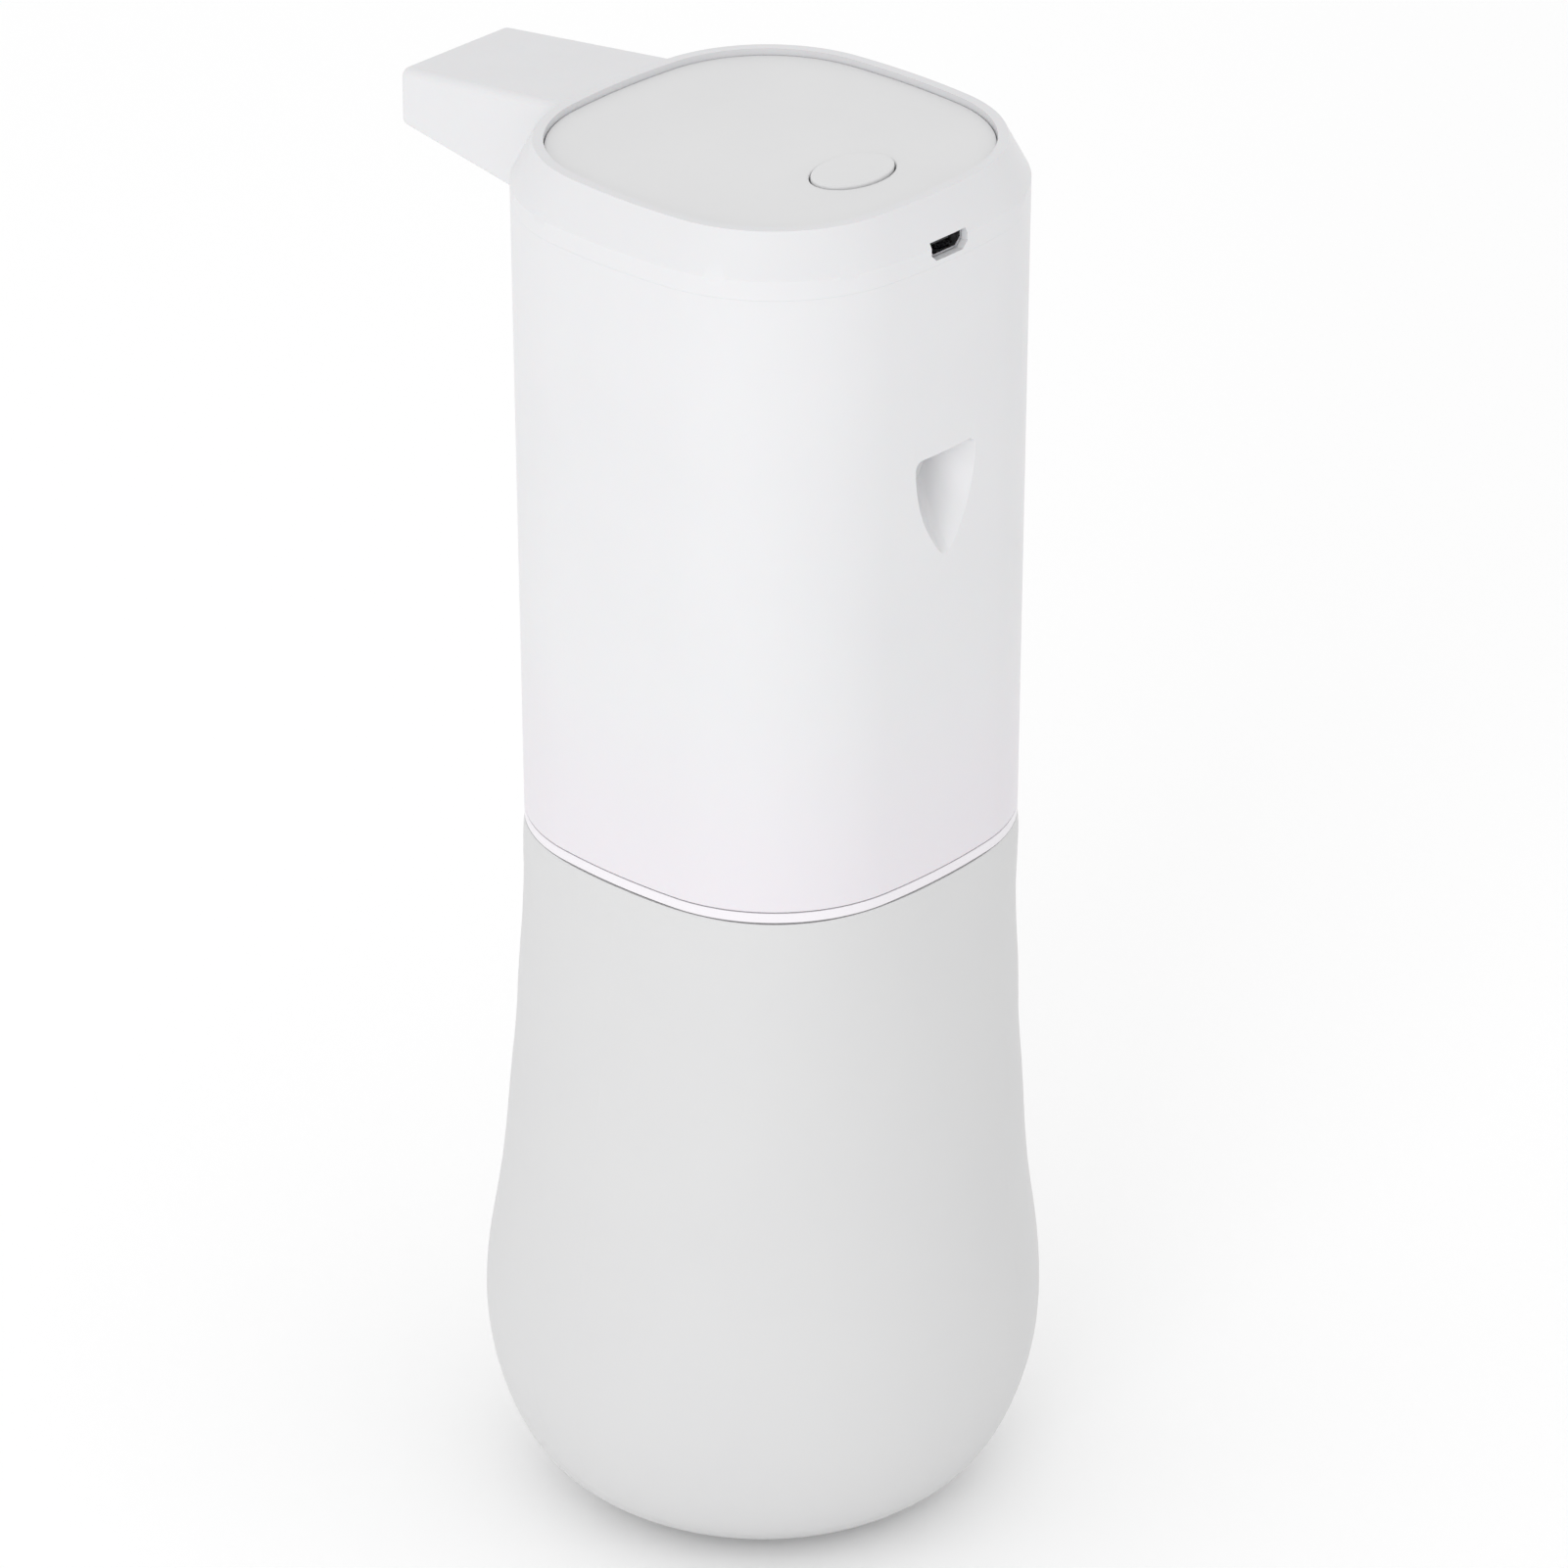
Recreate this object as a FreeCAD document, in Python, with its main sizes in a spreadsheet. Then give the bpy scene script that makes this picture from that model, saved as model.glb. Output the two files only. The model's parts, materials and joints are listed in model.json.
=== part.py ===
import FreeCAD, Part
import math
import os
import Sketcher

# Automatic foaming soap dispenser: a pump head on a screw-on bottle.
# Frame: +Z up, origin on the bottle's base under the neck's axis, spout towards -Y, rear wall towards +Y.

doc = FreeCAD.newDocument("soap_dispenser")

DRIVING_SIZES = {
    # Bottle
    "bottle_height": 116.0, "bottle_wall": 1.8, "base_radius": 19.4, "base_corner": 21.5,
    "belly_swell": 7.3, "belly_height": 32.0, "waist_height": 72.0, "waist_swell": 3.1, "belly_forward": 1.8,
    "shoulder_gap": 0.3, "neck_radius": 20.5, "neck_wall": 1.8, "neck_height": 14.0,
    # Quick thread between neck and collar
    "thread_depth": 1.3, "thread_width": 2.0, "thread_lead": 15.0, "thread_rise": 4.2,
    "thread_clearance": 0.4, "thread_height": 4.5,
    # Head skin: four long side arcs joined by four corner arcs, widening upwards
    "head_height": 110.9, "half_width": 34.42, "side_radius": 110.0, "corner_radius": 25.26,
    "draft_angle": 0.44, "wall": 2.0, "ring_height": 1.8, "cap_height": 9.4,
    "chamfer_height": 6.4, "chamfer_inset": 3.4, "rim_width": 1.65, "panel_depth": 1.0,
    "panel_thickness": 2.0, "deck_thickness": 1.6, "lip_height": 3.0, "lip_thickness": 1.2,
    "fit_clearance": 0.15,
    # Spout
    "spout_reach": 65.3, "spout_root_width": 25.2, "spout_tip_width": 23.5, "spout_droop": 6.6,
    "spout_step": 0.15, "spout_rise": 8.7, "spout_root_height": 17.9, "spout_wall": 1.6, "spout_round": 1.6,
    "cover_thickness": 1.6, "nozzle_position": 56.5, "nozzle_radius": 6.0, "nozzle_bore": 4.6,
    "nozzle_stand_out": 1.5, "window_position": 43.0, "window_width": 12.0, "window_length": 7.0,
    # Power button
    "button_position": 16.2, "button_half_length": 7.3, "button_half_width": 5.0, "button_gap": 0.2,
    "button_raise": 0.4, "button_flange": 1.2, "button_travel": 0.5,
    # Charging port
    "port_width": 7.4, "port_height": 2.6, "port_depth": 5.6, "port_above_skirt": 2.3,
    # Hook recess in the rear wall
    "hook_top": 71.0, "hook_half_width": 7.0, "hook_length": 17.8, "hook_depth": 6.5,
    "hook_corner": 1.4, "hook_bulge": 0.09,
    # Floor of the head
    "plate_thickness": 2.4, "plate_edge": 1.0, "collar_wall": 2.4, "boss_offset": 21.0,
    "boss_radius": 3.0, "boss_height": 14.4, "pilot_radius": 0.95, "frame_thickness": 2.0,
    # Pump and motor
    "tube_to_neck": 2.2, "pump_y": -2.0, "pump_radius": 13.0, "pump_stand": 22.0, "tilt": 6.0,
    "head_thickness": 6.0, "valve_thickness": 3.0, "diaphragm_thickness": 1.2,
    "housing_height": 14.8, "motor_radius": 12.0, "motor_length": 25.5, "motor_wall": 0.8,
    "shaft_radius": 1.0, "pin_radius": 0.8, "running_clearance": 0.06, "arm_reach": 9.5,
    "cup_circle": 7.2, "cup_radius": 3.4,
    # Tubes
    "tube_radius": 2.75, "tube_bore": 1.8, "dip_radius": 3.0, "dip_clearance": 5.0, "lead_radius": 0.6,
    # Battery
    "cell_x": 19.0, "cell_y": 6.0, "cell_radius": 9.15, "cell_length": 65.0,
    # Control board
    "board_thickness": 1.6, "board_half_width": 18.0, "board_front": -14.0, "board_to_rear": 3.92,
    "board_corner": 6.0, "switch_height": 1.5, "post_radius": 2.4, "post_x": 14.5,
}

sheet = doc.addObject("Spreadsheet::Sheet", "Sizes")
for row, (alias, value) in enumerate(DRIVING_SIZES.items(), start=1):
    sheet.set(f"A{row}", alias)
    sheet.set(f"B{row}", str(value))
    sheet.setAlias(f"B{row}", alias)
doc.recompute()


# ---- Sizes that carry their own spreadsheet expression ----

class Size:
    """A number together with the expression that gives it from the spreadsheet."""

    def __init__(self, number, text):
        self.number = number
        self.text = text

    def __add__(self, other):
        other = as_size(other)
        return Size(self.number + other.number, f"({self.text} + {other.text})")

    def __sub__(self, other):
        other = as_size(other)
        return Size(self.number - other.number, f"({self.text} - {other.text})")

    def __mul__(self, other):
        other = as_size(other)
        return Size(self.number * other.number, f"({self.text} * {other.text})")

    def __truediv__(self, other):
        other = as_size(other)
        return Size(self.number / other.number, f"({self.text} / {other.text})")

    def __neg__(self):
        return Size(-self.number, f"(-1 * {self.text})")

    def __radd__(self, other):
        return as_size(other) + self

    def __rsub__(self, other):
        return as_size(other) - self

    def __rmul__(self, other):
        return as_size(other) * self


def as_size(item):
    return item if isinstance(item, Size) else Size(float(item), f"{float(item):.6f}")


class SheetSizes:
    """Looks a driving size up in the spreadsheet by its alias."""

    def __getattr__(self, alias):
        return Size(float(sheet.get(alias)), f"Sizes.{alias}")


d = SheetSizes()


def slope(angle):
    return Size(math.tan(math.radians(angle.number)), f"tan({angle.text} * 1deg)")


def root(size):
    return Size(math.sqrt(size.number), f"sqrt({size.text})")


def angle_of(rise, run):
    quotient = rise / run
    return Size(math.degrees(math.atan(quotient.number)), f"atan({quotient.text})")


# ---- Heights and places shared by several sub-parts ----

RING_TOP = d.bottle_height + d.ring_height
RIM_TOP = d.bottle_height + d.head_height
SKIRT_TOP = RIM_TOP - d.cap_height
CHAMFER_START = RIM_TOP - d.chamfer_height
PANEL_TOP = RIM_TOP - d.panel_depth
PANEL_UNDERSIDE = PANEL_TOP - d.panel_thickness
DECK_UNDERSIDE = PANEL_UNDERSIDE - d.deck_thickness
PLATE_BOTTOM = d.bottle_height + 0.2
PLATE_TOP = PLATE_BOTTOM + d.plate_thickness
SHOULDER_TOP = d.bottle_height - d.shoulder_gap
NECK_TOP = SHOULDER_TOP + d.neck_height
GASKET_TOP = NECK_TOP + 1.1
COLLAR_CEILING = GASKET_TOP + 0.1
COLLAR_BORE = d.neck_radius + d.thread_depth + d.thread_clearance
COLLAR_RADIUS = COLLAR_BORE + d.collar_wall
FRAME_BOTTOM = PLATE_TOP + d.boss_height
FRAME_TOP = FRAME_BOTTOM + d.frame_thickness
PUMP_BASE = d.bottle_height + d.pump_stand
PUMP_HEAD_TOP = PUMP_BASE + d.head_thickness
VALVE_TOP = PUMP_HEAD_TOP + d.valve_thickness
DIAPHRAGM_TOP = VALVE_TOP + d.diaphragm_thickness
MOTOR_BOTTOM = DIAPHRAGM_TOP + d.housing_height
MOTOR_TOP = MOTOR_BOTTOM + d.motor_length
TILT_CENTRE = DIAPHRAGM_TOP + 2.3
SWING_BOTTOM = TILT_CENTRE + 3.0
SWING_THICKNESS = as_size(2.0)
HUB_BOTTOM = SWING_BOTTOM + 3.1
HUB_TOP = HUB_BOTTOM + 5.2
PORT_CENTRE = SKIRT_TOP + d.port_above_skirt
BOARD_TOP = PORT_CENTRE - d.port_height / 2
BOARD_BOTTOM = BOARD_TOP - d.board_thickness
BOARD_REAR = d.half_width - d.board_to_rear
PUMP_X = d.neck_wall + d.dip_radius + d.tube_to_neck - d.neck_radius
NOZZLE_INLET = RIM_TOP - 9.0
CORNER_RUN = d.side_radius - d.half_width
CORNER_REACH = d.side_radius - d.corner_radius
CORNER_OFFSET = (root(2 * CORNER_REACH * CORNER_REACH - CORNER_RUN * CORNER_RUN) - CORNER_RUN) / 2


def skin(depth, height):
    """Inset of an outline that lies depth inside the head's skin at a given height."""
    return depth - slope(d.draft_angle) * (height - d.bottle_height)


RIM_EDGE = d.half_width - skin(d.chamfer_inset, RIM_TOP)
SPOUT_ROOT = RIM_EDGE - 0.8


def spout_bottom(reach):
    return RIM_TOP - d.spout_root_height + slope(d.spout_rise) * (reach - RIM_EDGE)


def spout_top(reach):
    return RIM_TOP - d.spout_step - slope(d.spout_droop) * (reach - RIM_EDGE)


def spout_half_width(reach):
    narrowing = (d.spout_root_width - d.spout_tip_width) / (d.spout_reach - RIM_EDGE)
    return d.spout_root_width / 2 - narrowing * (reach - RIM_EDGE) / 2


# ---- Bodies, sketches and features ----

sub_parts = []


def new_body(label):
    body = doc.addObject("PartDesign::Body", label)
    body.Label = label
    sub_parts.append(body)
    return body


def new_sketch(body, plane="XY_Plane", offset=0):
    """A sketch on one of the body's origin planes; XZ offsets count towards -Y."""
    sketch = body.newObject("Sketcher::SketchObject", f"{body.Name}_sketch")
    origin_plane = next(item for item in body.Origin.OriginFeatures if item.Role == plane)
    sketch.AttachmentSupport = [(origin_plane, "")]
    sketch.MapMode = "FlatFace"
    sketch.setExpression("AttachmentOffset.Base.z", as_size(offset).text)
    return sketch


def bind(sketch, constraint, size):
    index = sketch.addConstraint(constraint)
    sketch.setExpression(f"Constraints[{index}]", size.text)


def place_point(sketch, geometry, point, x, y):
    x = as_size(x)
    y = as_size(y)
    bind(sketch, Sketcher.Constraint("DistanceX", -1, 1, geometry, point, x.number), x)
    bind(sketch, Sketcher.Constraint("DistanceY", -1, 1, geometry, point, y.number), y)


def outline(sketch, points):
    """Closed polygon whose corners are bound to their own coordinates."""
    corners = [FreeCAD.Vector(as_size(x).number, as_size(y).number, 0) for x, y in points]
    lines = [Part.LineSegment(a, b) for a, b in zip(corners, corners[1:] + corners[:1])]
    first = sketch.GeometryCount
    sketch.addGeometry(lines, False)
    for index, (x, y) in enumerate(points):
        before = first + (index - 1) % len(points)
        sketch.addConstraint(Sketcher.Constraint("Coincident", before, 2, first + index, 1))
        place_point(sketch, first + index, 1, x, y)


def rectangle(sketch, x_low, y_low, x_high, y_high):
    outline(sketch, [(x_low, y_low), (x_high, y_low), (x_high, y_high), (x_low, y_high)])


def circle(sketch, x, y, radius):
    x, y, radius = as_size(x), as_size(y), as_size(radius)
    centre = FreeCAD.Vector(x.number, y.number, 0)
    index = sketch.addGeometry(Part.Circle(centre, FreeCAD.Vector(0, 0, 1), radius.number), False)
    place_point(sketch, index, 3, x, y)
    bind(sketch, Sketcher.Constraint("Radius", index, radius.number), radius)


def ellipse(sketch, x, y, half_length, half_width):
    """Ellipse with its long axis along the sketch's X direction."""
    x, y = as_size(x), as_size(y)
    centre = FreeCAD.Vector(x.number, y.number, 0)
    long_end = centre + FreeCAD.Vector(half_length.number, 0, 0)
    short_end = centre + FreeCAD.Vector(0, half_width.number, 0)
    index = sketch.addGeometry(Part.Ellipse(long_end, short_end, centre), False)
    sketch.exposeInternalGeometry(index)
    place_point(sketch, index, 3, x, y)
    sketch.addConstraint(Sketcher.Constraint("Horizontal", index + 1))
    for line, half in ((index + 1, half_length), (index + 2, half_width)):
        bind(sketch, Sketcher.Constraint("Distance", line, 2 * half.number), half * 2)


def rounded_square(sketch, inset):
    """The head's plan outline, drawn inset from the size it has at the ring's lower edge."""
    inset = as_size(inset)
    radii = (d.side_radius - inset, d.corner_radius - inset)
    joint = math.atan2(CORNER_OFFSET.number, CORNER_OFFSET.number + CORNER_RUN.number)
    up = FreeCAD.Vector(0, 0, 1)
    first = sketch.GeometryCount
    for quarter in range(4):
        middle = quarter * math.pi / 2
        outward = FreeCAD.Vector(math.cos(middle), math.sin(middle), 0)
        sideways = FreeCAD.Vector(-outward.y, outward.x, 0)
        corner = (outward + sideways) * CORNER_OFFSET.number
        side_circle = Part.Circle(outward * -CORNER_RUN.number, up, radii[0].number)
        corner_circle = Part.Circle(corner, up, radii[1].number)
        next_joint = middle + math.pi / 2 - joint
        sketch.addGeometry(Part.ArcOfCircle(side_circle, middle - joint, middle + joint), False)
        sketch.addGeometry(Part.ArcOfCircle(corner_circle, middle + joint, next_joint), False)
    for index in range(8):
        following = first + (index + 1) % 8
        sketch.addConstraint(Sketcher.Constraint("Tangent", first + index, 2, following, 1))
        radius = radii[index % 2]
        bind(sketch, Sketcher.Constraint("Radius", first + index, radius.number), radius)
    for quarter, (sign_x, sign_y) in enumerate(((1, 1), (-1, 1), (-1, -1), (1, -1))):
        place_point(sketch, first + 2 * quarter + 1, 3, sign_x * CORNER_OFFSET, sign_y * CORNER_OFFSET)


def feature(body, kind, sketch):
    item = body.newObject(f"PartDesign::{kind}", f"{body.Name}_{kind.lower()}")
    item.Profile = sketch
    return item


def pad(body, sketch, length, reverse=False, taper=None, middle=False):
    item = feature(body, "Pad", sketch)
    item.setExpression("Length", as_size(length).text)
    item.Reversed = reverse
    item.Midplane = middle
    if taper is not None:
        item.setExpression("TaperAngle", taper.text)
    return item


def pocket(body, sketch, length, reverse=False, taper=None, middle=False):
    """Cut below the sketch's plane, or above it with reverse."""
    item = feature(body, "Pocket", sketch)
    item.setExpression("Length", as_size(length).text)
    item.Reversed = reverse
    item.Midplane = middle
    if taper is not None:
        item.setExpression("TaperAngle", taper.text)
    return item


def spin(body, sketch, kind="Revolution"):
    item = feature(body, kind, sketch)
    item.ReferenceAxis = (sketch, ["V_Axis"])
    item.Angle = 360
    return item


def loft(body, first, last, kind="AdditiveLoft"):
    item = feature(body, kind, first)
    item.Sections = [last]
    return item


def polar(body, item, sketch, count):
    pattern = body.newObject("PartDesign::PolarPattern", f"{body.Name}_pattern")
    pattern.Originals = [item]
    pattern.Axis = (sketch, ["N_Axis"])
    pattern.Angle = 360
    pattern.Occurrences = count
    body.Tip = pattern
    return pattern


def fillet(body, base, radius, chosen):
    """Round the edges of the body's last feature that the chosen test picks out."""
    doc.recompute()
    names = [f"Edge{n}" for n, edge in enumerate(base.Shape.Edges, start=1) if chosen(edge)]
    item = body.newObject("PartDesign::Fillet", f"{body.Name}_fillet")
    item.Base = (base, names)
    item.setExpression("Radius", as_size(radius).text)
    return item


def locate(body, x=0, y=0, z=0):
    for axis, size in (("x", x), ("y", y), ("z", z)):
        body.setExpression(f"Placement.Base.{axis}", as_size(size).text)


def turned(label, profile, x=0, y=0):
    """Body revolved about a vertical axis from a (radius, height) profile."""
    body = new_body(label)
    sketch = new_sketch(body, "XZ_Plane")
    outline(sketch, profile)
    spin(body, sketch)
    locate(body, x, y)
    return body


def ring_profile(inner, outer, bottom, top):
    return [(inner, bottom), (outer, bottom), (outer, top), (inner, top)]


def block(label, x_low, x_high, y_low, y_high, bottom, top):
    body = new_body(label)
    sketch = new_sketch(body, "XY_Plane", bottom)
    rectangle(sketch, x_low, y_low, x_high, y_high)
    pad(body, sketch, as_size(top) - bottom)
    return body


def cylinders(label, places, radius, bottom, top):
    """One body of equal upright cylinders."""
    body = new_body(label)
    sketch = new_sketch(body, "XY_Plane", bottom)
    for x, y in places:
        circle(sketch, x, y, radius)
    pad(body, sketch, as_size(top) - bottom)
    return body


def screws(label, places, seat, tip, head_radius, shank_radius, head_height, upward=False):
    """Pan-head screws whose heads rest at the seat height; upward ones enter from below."""
    body = new_body(label)
    direction = 1 if upward else -1
    seat = as_size(seat)
    head = new_sketch(body, "XY_Plane", seat)
    shank = new_sketch(body, "XY_Plane", seat)
    recess = new_sketch(body, "XY_Plane", seat - direction * as_size(head_height))
    arm = 0.3
    for x, y in places:
        circle(head, x, y, head_radius)
        circle(shank, x, y, shank_radius)
        reach = as_size(head_radius) * 0.6
        x, y = as_size(x), as_size(y)
        outline(recess, [(x - reach, y - arm), (x - arm, y - arm), (x - arm, y - reach),
                         (x + arm, y - reach), (x + arm, y - arm), (x + reach, y - arm),
                         (x + reach, y + arm), (x + arm, y + arm), (x + arm, y + reach),
                         (x - arm, y + reach), (x - arm, y + arm), (x - reach, y + arm)])
    pad(body, head, head_height, reverse=upward)
    pad(body, shank, abs_difference(seat, tip), reverse=not upward)
    pocket(body, recess, as_size(head_height) * 0.6, reverse=upward)
    return body


def abs_difference(first, second):
    first, second = as_size(first), as_size(second)
    return first - second if first.number > second.number else second - first


def point(x, y, z):
    return FreeCAD.Vector(as_size(x).number, as_size(y).number, as_size(z).number)


def route(points, bend):
    """Straight runs joined by tangent arcs of one bend radius."""
    edges = []
    start = points[0]
    for before, corner, after in zip(points, points[1:], points[2:]):
        incoming = (corner - before).normalize()
        outgoing = (after - corner).normalize()
        turn = incoming.getAngle(outgoing)
        cut = bend * math.tan(turn / 2)
        arc_start = corner - incoming * cut
        arc_end = corner + outgoing * cut
        inward = (outgoing - incoming).normalize()
        arc_middle = corner + inward * (bend / math.cos(turn / 2) - bend)
        edges.append(Part.LineSegment(start, arc_start).toShape())
        edges.append(Part.Arc(arc_start, arc_middle, arc_end).toShape())
        start = arc_end
    edges.append(Part.LineSegment(start, points[-1]).toShape())
    return Part.Wire(edges)


def rod_along(wire, radius):
    first = wire.Edges[0]
    start = (first.firstVertex() if first.Orientation == "Forward" else first.lastVertex()).Point
    direction = first.tangentAt(first.FirstParameter)
    section = Part.Wire(Part.makeCircle(radius, start, direction))
    return wire.makePipeShell([section], True, False)


def bent_tubes(label, routes, radius, bore, bend):
    """Flexible tubes or leads, one solid for each route."""
    solids = []
    for points in routes:
        wire = route([point(*corner) for corner in points], bend)
        solid = rod_along(wire, as_size(radius).number)
        if bore is not None:
            solid = solid.cut(rod_along(wire, as_size(bore).number))
        solids.append(solid)
    item = doc.addObject("Part::Feature", label)
    item.Label = label
    item.Shape = Part.makeCompound(solids) if len(solids) > 1 else solids[0]
    item.Placement = FreeCAD.Placement()
    sub_parts.append(item)
    return item


# ---- Bottle ----

def forward(height):
    """How far the bottle's section stands in front of the neck's axis: most at the belly and below it."""
    share = (SHOULDER_TOP.number - height) / (SHOULDER_TOP.number - d.belly_height.number)
    return d.belly_forward.number * min(share, 1)


def section_wire(mean_radius, squareness, height):
    """Smooth closed section that passes from a circle, at 0, towards a rounded square."""
    count = 32
    spots = []
    for index in range(count):
        angle = 2 * math.pi * index / count
        radius = mean_radius * (1 - squareness * math.cos(4 * angle))
        spots.append(FreeCAD.Vector(radius * math.cos(angle),
                                    radius * math.sin(angle) - forward(height), height))
    curve = Part.BSplineCurve()
    curve.interpolate(Points=spots, PeriodicFlag=True)
    return Part.Wire(curve.toShape())


HALF_TOP = d.half_width.number
DIAGONAL_TOP = CORNER_OFFSET.number * math.sqrt(2) + d.corner_radius.number
MEAN_TOP = (HALF_TOP + DIAGONAL_TOP) / 2
BELLY_RADIUS = MEAN_TOP + d.belly_swell.number


def upper_section(height, inset):
    """Section between the belly's widest circle and the rounded square under the head."""
    top = SHOULDER_TOP.number
    belly = d.belly_height.number
    waist_share = (top - d.waist_height.number) / (top - belly)
    power = math.log(d.waist_swell.number / d.belly_swell.number) / math.log(waist_share)
    share = (top - height) / (top - belly)
    swell = share ** power
    round_share = 0.75
    if share > round_share:
        near_belly = (share - round_share) / (1 - round_share)
        swell += near_belly * (share * share * (3 - 2 * share) - swell)
    fade = max(1 - share / round_share, 0) ** 1.5
    squareness = fade * (DIAGONAL_TOP - HALF_TOP) / (DIAGONAL_TOP + HALF_TOP)
    return section_wire(MEAN_TOP + d.belly_swell.number * swell - inset, squareness, height)


def bottle_form(inset):
    """Bottle from its flat base up to the shoulder, drawn inset from the outside by a wall."""
    corner = d.base_corner.number
    belly = d.belly_height.number
    across = BELLY_RADIUS - d.base_radius.number
    up = belly - corner
    bowl = (across ** 2 + up ** 2 - corner ** 2) / (2 * (across - corner))
    joint_angle = math.atan2(up, bowl - across)
    sections = []
    corner_steps = 6
    for step in range(corner_steps):
        angle = math.pi / 2 - (math.pi / 2 - joint_angle) * step / corner_steps
        radius = d.base_radius.number + (corner - inset) * math.cos(angle)
        sections.append(section_wire(radius, 0, corner - (corner - inset) * math.sin(angle)))
    bowl_steps = 3
    for step in range(bowl_steps):
        angle = joint_angle * (1 - step / bowl_steps)
        radius = BELLY_RADIUS - bowl + (bowl - inset) * math.cos(angle)
        sections.append(section_wire(radius, 0, belly - (bowl - inset) * math.sin(angle)))
    top = SHOULDER_TOP.number - inset
    upper_steps = 8
    for step in range(upper_steps + 1):
        sections.append(upper_section(belly + (top - belly) * step / upper_steps, inset))
    return Part.makeLoft(sections, True, False)


def thread(body, root_radius, crest_radius, bottom):
    """Three equal thread starts of one trapezoid section, sunk a little into the wall."""
    sketch = new_sketch(body, "XZ_Plane")
    sunk = 0.3
    inward = crest_radius.number < root_radius.number
    base = root_radius + sunk if inward else root_radius - sunk
    outline(sketch, [(base, bottom), (base, bottom + d.thread_width),
                     (crest_radius, bottom + d.thread_width * 0.8),
                     (crest_radius, bottom + d.thread_width * 0.2)])
    helix = feature(body, "AdditiveHelix", sketch)
    helix.ReferenceAxis = (sketch, ["V_Axis"])
    helix.Mode = "pitch-height-angle"
    helix.setExpression("Pitch", d.thread_lead.text)
    helix.setExpression("Height", d.thread_rise.text)
    around = new_sketch(body, "XY_Plane")
    polar(body, helix, around, 3)


shell = doc.addObject("Part::Feature", "bottle_form")
shell.Shape = bottle_form(0).cut(bottle_form(d.bottle_wall.number))

bottle = new_body("bottle")
bottle.BaseFeature = shell
neck = new_sketch(bottle, "XY_Plane", SHOULDER_TOP - d.bottle_wall / 2)
circle(neck, 0, 0, d.neck_radius)
pad(bottle, neck, NECK_TOP - SHOULDER_TOP + d.bottle_wall / 2)
mouth = new_sketch(bottle, "XY_Plane", NECK_TOP)
circle(mouth, 0, 0, d.neck_radius - d.neck_wall)
pocket(bottle, mouth, d.neck_height + 2 * d.bottle_wall)
thread(bottle, d.neck_radius, d.neck_radius + d.thread_depth, SHOULDER_TOP + d.thread_height)

gasket_inner = d.neck_radius - d.neck_wall - 0.6
turned("bottle_gasket", ring_profile(gasket_inner, d.neck_radius + 0.4, NECK_TOP + 0.05, GASKET_TOP))

DIP_BOTTOM = d.bottle_wall + d.dip_clearance
dip_bore = as_size(1.95)
turned("dip_tube", ring_profile(dip_bore, d.dip_radius, DIP_BOTTOM, FRAME_TOP - 0.5), PUMP_X, d.pump_y)
turned("inlet_filter", [(0, DIP_BOTTOM - 2), (4.2, DIP_BOTTOM - 2), (4.2, DIP_BOTTOM + 6),
                        (3.05, DIP_BOTTOM + 6),
                        (3.05, DIP_BOTTOM - 0.05), (1.4, DIP_BOTTOM - 0.05), (1.4, DIP_BOTTOM - 1),
                        (0, DIP_BOTTOM - 1)],
       PUMP_X, d.pump_y)


# ---- Floor of the head ----

base_ring = new_body("base_ring")
band = new_sketch(base_ring, "XY_Plane", d.bottle_height)
rounded_square(band, 0)
rounded_square(band, d.wall + 0.1)
pad(base_ring, band, d.ring_height, taper=None)
ledge = new_sketch(base_ring, "XY_Plane", PLATE_BOTTOM + d.plate_edge + 0.05)
rounded_square(ledge, d.wall + 0.02)
rounded_square(ledge, d.wall + 2.5)
pad(base_ring, ledge, d.plate_thickness - d.plate_edge - 0.05)
groove = new_sketch(base_ring, "XY_Plane", RING_TOP)
rounded_square(groove, -0.5)
rounded_square(groove, d.wall - 0.2)
pocket(base_ring, groove, 0.2)

corners = [(sign_x * d.boss_offset, sign_y * d.boss_offset) for sign_x,
           sign_y in ((1, 1), (-1, 1), (-1, -1), (1, -1))]

base_plate = new_body("base_plate")
edge_sketch = new_sketch(base_plate, "XY_Plane", PLATE_BOTTOM)
rounded_square(edge_sketch, d.wall + 0.3)
pad(base_plate, edge_sketch, d.plate_edge)
middle_sketch = new_sketch(base_plate, "XY_Plane", PLATE_BOTTOM)
rounded_square(middle_sketch, d.wall + 2.7)
pad(base_plate, middle_sketch, d.plate_thickness)
opening = new_sketch(base_plate, "XY_Plane", PLATE_TOP)
circle(opening, 0, 0, COLLAR_RADIUS + d.fit_clearance)
for x, y in corners:
    circle(opening, x, y, d.pilot_radius + 0.35)
pocket(base_plate, opening, d.plate_thickness)
counterbores = new_sketch(base_plate, "XY_Plane", PLATE_BOTTOM)
for x, y in corners:
    circle(counterbores, x, y, 2.3)
pocket(base_plate, counterbores, d.plate_edge + 0.2, reverse=True)

screws("base_screws", corners, PLATE_BOTTOM + d.plate_edge + 0.2, PLATE_TOP + 6, 2.1,
       d.pilot_radius - 0.05, d.plate_edge, upward=True)

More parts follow.
